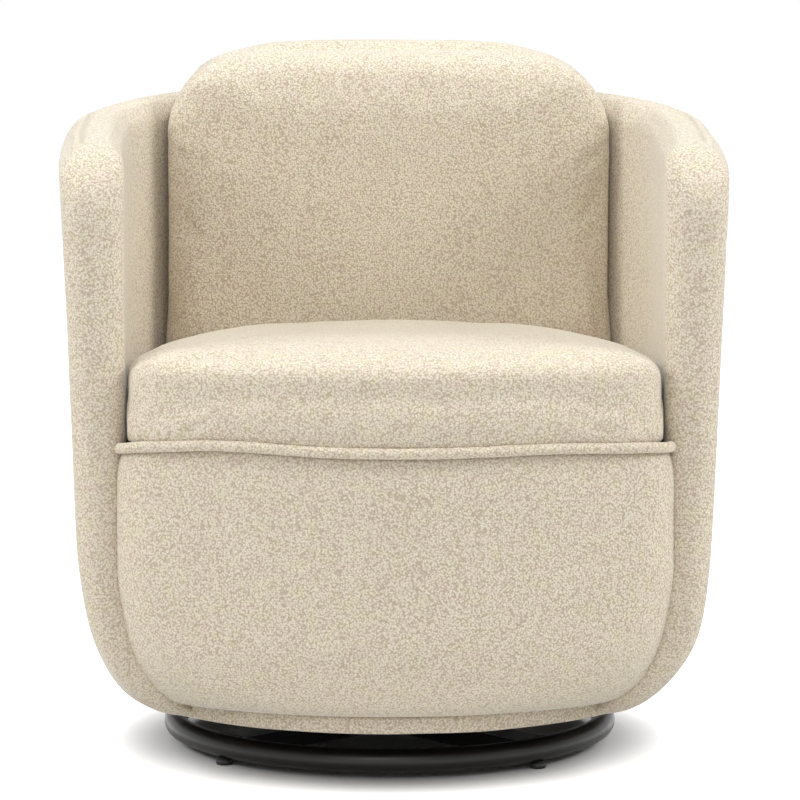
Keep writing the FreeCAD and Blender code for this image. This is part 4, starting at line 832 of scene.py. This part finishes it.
def looped_wool():
    """Cream looped wool cloth: small loops about 2 mm across; the yarn's cream is painted lighter on the loop
    tops and darker in the pits between them, as painted highlight and shade.
    """
    f = Finish("looped_wool")
    drift = f.add("TexNoise", {"Vector": f.place, "Scale": 230.0, "Detail": 2.0}).outputs["Color"]
    shift = f.add("VectorMath", {0: drift, 1: (0.5, 0.5, 0.5)}, operation="SUBTRACT").outputs[0]
    shift = f.add("VectorMath", {0: shift, "Scale": 0.0020}, operation="SCALE").outputs[0]
    place = f.add("VectorMath", {0: f.place, 1: shift}, operation="ADD").outputs[0]
    loops = f.add("TexVoronoi", {"Vector": place, "Scale": 470.0, "Smoothness": 0.3, "Randomness": 0.9},
                  feature="SMOOTH_F1").outputs["Distance"]
    fibre = f.noise(1500.0, 2.0, 0.6, place)
    height = f.math("SUBTRACT", f.math("MULTIPLY", fibre, 0.30), loops)
    # From the loop tops to the pits: the yarn's own cream, with a painted highlight on the tops and painted
    # shade in the pits.
    shade = f.math("ADD", f.math("MULTIPLY", loops, 0.95), f.math("MULTIPLY", fibre, 0.22))
    cloth = f.ramp(shade, (0.16, (0.765, 0.712, 0.608)), (0.44, (0.680, 0.615, 0.506)),
                   (0.78, (0.459, 0.385, 0.293)))
    patches = f.noise(75.0, 2.0, 0.5)
    warm = f.ramp(patches, (0.36, (1.0, 0.955, 0.965)), (0.50, (1.0, 1.0, 1.0)),
                  (0.64, (1.0, 1.005, 0.93)))
    cloth = f.mix(0.8, cloth, warm, "MULTIPLY")
    # Painted shade along the seam: within about 1.6 mm of it the cloth is mixed towards dark brown, as shade
    # in the seam's groove.
    seam = f.add("Attribute", attribute_name="seam").outputs["Fac"]
    near = f.math("SUBTRACT", 1.0, f.math("MINIMUM", f.math("DIVIDE", seam, 1.6), 1.0))
    cloth = f.mix(f.math("MULTIPLY", near, 0.45), cloth, (0.36, 0.30, 0.22, 1.0))
    coarse = f.bump(f.noise(60.0, 3.0), 0.10, 0.004)
    normal = f.bump(height, 0.55, 0.0010, coarse)
    return f.shade(Base_Color=cloth, Roughness=0.92, Normal=normal, Sheen_Weight=0.45,
                   Sheen_Roughness=0.38, Sheen_Tint=(1.0, 0.99, 0.93, 1.0), Specular_IOR_Level=0.12)


def black_paint():
    f = Finish("black_powder_coat")
    fine = f.noise(1400.0, 2.0)
    colour = f.ramp(f.noise(30.0, 4.0), (0.3, (0.0045, 0.0040, 0.0036)),
                    (0.75, (0.0085, 0.0072, 0.0062)))
    rough = f.ramp(f.noise(55.0, 4.0), (0.25, (0.30, 0.30, 0.30)), (0.8, (0.40, 0.40, 0.40)))
    return f.shade(Base_Color=colour, Roughness=rough, Normal=f.bump(fine, 0.10, 0.0006),
                   Specular_IOR_Level=0.35)


def plain_metal(name, light, dark, low, high):
    f = Finish(name)
    colour = f.ramp(f.noise(120.0, 4.0), (0.3, dark), (0.7, light))
    rough = f.ramp(f.noise(260.0, 3.0), (0.3, (low,) * 3), (0.75, (high,) * 3))
    return f.shade(Base_Color=colour, Roughness=rough, Metallic=1.0,
                   Normal=f.bump(f.noise(900.0), 0.06, 0.0004))


def wood(name, axis, light, dark):
    """Sawn softwood with its grain along one axis, 0 to 2."""
    f = Finish(name)
    stretch = [220.0, 220.0, 220.0]
    stretch[axis] = 9.0
    place = f.add("Mapping", {"Vector": f.place, "Scale": stretch}).outputs[0]
    grain = f.noise(1.0, 5.0, 0.6, place)
    rings = f.math("SINE", f.math("MULTIPLY", f.noise(0.16, 3.0, 0.5, place), 40.0))
    shade = f.math("ADD", f.math("MULTIPLY", grain, 0.75), f.math("MULTIPLY", rings, 0.10))
    colour = f.ramp(shade, (0.25, dark), (0.62, light))
    return f.shade(Base_Color=colour, Roughness=f.math("ADD", f.math("MULTIPLY", grain, 0.15), 0.62),
                   Normal=f.bump(grain, 0.25, 0.0006))


def plywood(name, axis):
    """Plywood whose plies are stacked along one axis: veneer on its faces, layers on its edges."""
    f = Finish(name)
    parts = f.add("SeparateXYZ", {0: f.place}).outputs
    stretch = [160.0, 160.0, 160.0]
    stretch[(axis + 1) % 3] = 8.0
    place = f.add("Mapping", {"Vector": f.place, "Scale": stretch}).outputs[0]
    grain = f.noise(1.0, 5.0, 0.6, place)
    veneer = f.ramp(grain, (0.25, (0.50, 0.36, 0.22)), (0.70, (0.68, 0.53, 0.36)))
    layers = f.math("SINE", f.math("MULTIPLY", parts[axis], 2090.0))
    edge = f.ramp(f.math("ADD", f.math("MULTIPLY", layers, 0.4), f.math("MULTIPLY", grain, 0.5)),
                  (0.05, (0.30, 0.19, 0.10)), (0.55, (0.60, 0.45, 0.29)))
    facing = f.add("SeparateXYZ", {0: f.add("NewGeometry").outputs["Normal"]}).outputs[axis]
    on_face = f.math("GREATER_THAN", f.math("ABSOLUTE", facing), 0.7)
    return f.shade(Base_Color=f.mix(on_face, edge, veneer), Roughness=0.62,
                   Normal=f.bump(grain, 0.2, 0.0005))


def plastic(name, light, dark, rough):
    f = Finish(name)
    colour = f.ramp(f.noise(90.0, 3.0), (0.3, dark), (0.7, light))
    return f.shade(Base_Color=colour, Roughness=f.math("ADD", f.math("MULTIPLY", f.noise(40.0), 0.12), rough),
                   Normal=f.bump(f.noise(1500.0), 0.08, 0.0003))


def woven(name, light, dark, pitch, depth):
    """Plain weave of that pitch in metres, its threads crossing at right angles."""
    f = Finish(name)
    parts = f.add("SeparateXYZ", {0: f.place}).outputs
    rate = PI / pitch
    over = f.math("MULTIPLY", f.math("SINE", f.math("MULTIPLY", parts[0], rate)),
                  f.math("SINE", f.math("MULTIPLY", parts[1], rate)))
    fibre = f.noise(1.5 / pitch, 3.0)
    height = f.math("ADD", f.math("MULTIPLY", over, 0.5), f.math("MULTIPLY", fibre, 0.4))
    colour = f.ramp(height, (0.0, dark), (0.6, light))
    return f.shade(Base_Color=colour, Roughness=0.85, Normal=f.bump(height, 0.6, depth), Sheen_Weight=0.1,
                   Specular_IOR_Level=0.2)


def felted():
    f = Finish("needled_felt")
    fibre = f.noise(700.0, 5.0, 0.65)
    flecks = f.noise(160.0, 4.0, 0.6)
    colour = f.ramp(f.math("MULTIPLY", f.math("ADD", fibre, flecks), 0.5),
                    (0.36, (0.22, 0.22, 0.21)), (0.5, (0.42, 0.42, 0.40)), (0.64, (0.60, 0.58, 0.54)))
    return f.shade(Base_Color=colour, Roughness=0.95, Normal=f.bump(fibre, 0.5, 0.0006),
                   Specular_IOR_Level=0.1)


FABRIC = looped_wool()
PAINT = black_paint()
PINE_LIGHT, PINE_DARK = (0.66, 0.50, 0.32), (0.50, 0.34, 0.19)
PINE = [wood("pine_along_" + "xyz"[axis], axis, PINE_LIGHT, PINE_DARK) for axis in range(3)]
PLY = [plywood("plywood_across_" + "xyz"[axis], axis) for axis in range(3)]
ZINC = plain_metal("zinc_plate", (0.62, 0.62, 0.60), (0.47, 0.48, 0.47), 0.30, 0.48)
BRIGHT_ZINC = plain_metal("bright_zinc", (0.68, 0.68, 0.67), (0.55, 0.55, 0.55), 0.22, 0.38)
GLIDE_PLASTIC = plastic("black_glide_plastic", (0.022, 0.022, 0.022), (0.014, 0.014, 0.014), 0.45)
BUSHING_PLASTIC = plastic("bushing_plastic", (0.76, 0.75, 0.70), (0.66, 0.64, 0.58), 0.38)
STRAPPING = woven("elastic_strapping", (0.13, 0.12, 0.11), (0.035, 0.032, 0.030), 0.0016, 0.0004)
DUST_CLOTH = woven("black_underside_cloth", (0.030, 0.030, 0.031), (0.010, 0.010, 0.010), 0.0007, 0.0002)
FELT = felted()


def dressed(piece, material, body, slot, *nodes):
    piece.data.materials.clear()
    piece.data.materials.append(material)
    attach(piece, body)
    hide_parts(*nodes)


for piece, *nodes in ((make_shell(), "shell_cover", "shell_foam"),
                      (make_pillow(), "pillow_cover", "pillow_core"),
                      (make_seat(), "seat_cover", "seat_core", "seat_topper"),
                      (make_pad(), "front_cover", "front_pad"), (make_welt(), "seat_welt"),
                      (make_band(), "bottom_band")):
    dressed(piece, FABRIC, "seat", "cover", *nodes)

dressed(make_ring(), PAINT, "base", "frame_tube", "base_ring")
dressed(make_glides(), GLIDE_PLASTIC, "base", "glide", "floor_glides")
long_straps, cross_straps = make_webbing()
dressed(long_straps, STRAPPING, "seat", "webbing", "webbing_long")
dressed(cross_straps, STRAPPING, "seat", "webbing", "webbing_cross")
felt = make_felt()
dressed(felt, FELT, "seat", "felt", "deck_felt")
dust = make_dust_sheet()
dressed(dust, DUST_CLOTH, "seat", "dust_cloth", "dust_cover")

FINISHES = {
    PAINT: ("long_cross_bar", "short_cross_bars", "hub_plate"),
    ZINC: ("lower_race", "upper_race", "ball_cage"),
    BRIGHT_ZINC: ("race_rivets", "pivot_bolt", "pivot_nut", "pivot_washers", "mounting_bolts",
                  "mounting_washers", "tee_nuts", "bearing_balls"),
    BUSHING_PLASTIC: ("pivot_bushing",),
    PINE[0]: ("front_rail", "back_rail"),
    PINE[1]: ("mounting_battens", "side_rails"),
    PINE[2]: ("deck_legs", "corner_blocks"),
    PLY[0]: ("outer_board",),
    PLY[1]: ("lower_posts", "middle_posts", "upper_posts", "front_board"),
    PLY[2]: ("bottom_panel", "deck_board", "arm_rib", "rim_rib"),
}
for material, names in FINISHES.items():
    for name in names:
        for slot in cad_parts[name].material_slots:
            slot.material = material

# ---------------------------------------------------------------- floor and light

FLOOR_HALF, SHADE_NEAR, SHADE_FAR, AMBIENT = 8, 0.23, 0.37, 0.39

floor_mesh = bpy.data.meshes.new("floor")
floor_mesh.from_pydata([(x * FLOOR_HALF, y * FLOOR_HALF, 0) for x, y in ((-1, -1), (1, -1), (1, 1), (-1, 1))],
                       [], [(0, 1, 2, 3)])
floor = bpy.data.objects.new("floor", floor_mesh)
scene.collection.objects.link(floor)


def seen(tree):
    """1 where a surface or the world is seen by the camera, in a reflection or through glass."""
    path = tree.nodes.new("ShaderNodeLightPath")
    total = path.outputs["Is Camera Ray"]
    for name in ("Is Glossy Ray", "Is Transmission Ray"):
        node = tree.nodes.new("ShaderNodeMath")
        node.operation = "MAXIMUM"
        tree.links.new(total, node.inputs[0])
        tree.links.new(path.outputs[name], node.inputs[1])
        total = node.outputs[0]
    return total


# The floor keeps the shadow near the base and turns to plain white further out.
pale = Finish("pale_floor")
away = pale.add("VectorMath", {0: pale.place}, operation="LENGTH").outputs["Value"]
spread = pale.add("MapRange", {"Value": away, "From Min": SHADE_NEAR, "From Max": SHADE_FAR},
                  interpolation_type="SMOOTHSTEP")
glow = pale.math("MULTIPLY", seen(pale.tree), spread.outputs["Result"])
shade = pale.ramp(pale.noise(0.8), (0.4, (0.79, 0.79, 0.79)), (0.6, (0.81, 0.81, 0.81)))
pale.shade(Base_Color=shade, Roughness=0.8, Specular_IOR_Level=0.1,
           Emission_Color=(1.0, 1.0, 1.0, 1.0), Emission_Strength=glow)
floor_mesh.materials.append(pale.material)

world = bpy.data.worlds.new("studio")
scene.world = world
world.use_nodes = True
background = world.node_tree.nodes["Background"]
background.inputs["Color"].default_value = (1, 1, 1, 1)
level = world.node_tree.nodes.new("ShaderNodeMapRange")
world.node_tree.links.new(seen(world.node_tree), level.inputs["Value"])
level.inputs["To Min"].default_value = AMBIENT
level.inputs["To Max"].default_value = 1.0
world.node_tree.links.new(level.outputs["Result"], background.inputs["Strength"])


def lamp(name, place, aim, size, power, colour=(1.0, 1.0, 1.0)):
    data = bpy.data.lights.new(name, "AREA")
    data.color = colour
    data.shape, data.size, data.size_y, data.energy = "RECTANGLE", size[0], size[1], power
    item = bpy.data.objects.new(name, data)
    item.location = place
    item.rotation_euler = aimed(place, aim)
    scene.collection.objects.link(item)


lamp("top_light", (-0.1, -0.3, 3.2), (0, 0, 0.4), (2.4, 2.4), 60, (0.94, 0.98, 1.0))
lamp("left_light", (-3.4, -0.9, 2.8), (0, 0, 0.5), (1.6, 1.6), 84)
lamp("right_light", (3.5, -0.8, 2.8), (0, 0, 0.5), (1.6, 1.6), 100)
lamp("front_light", (-0.6, -4.2, 2.3), (0, 0, 0.35), (2.2, 1.6), 37)
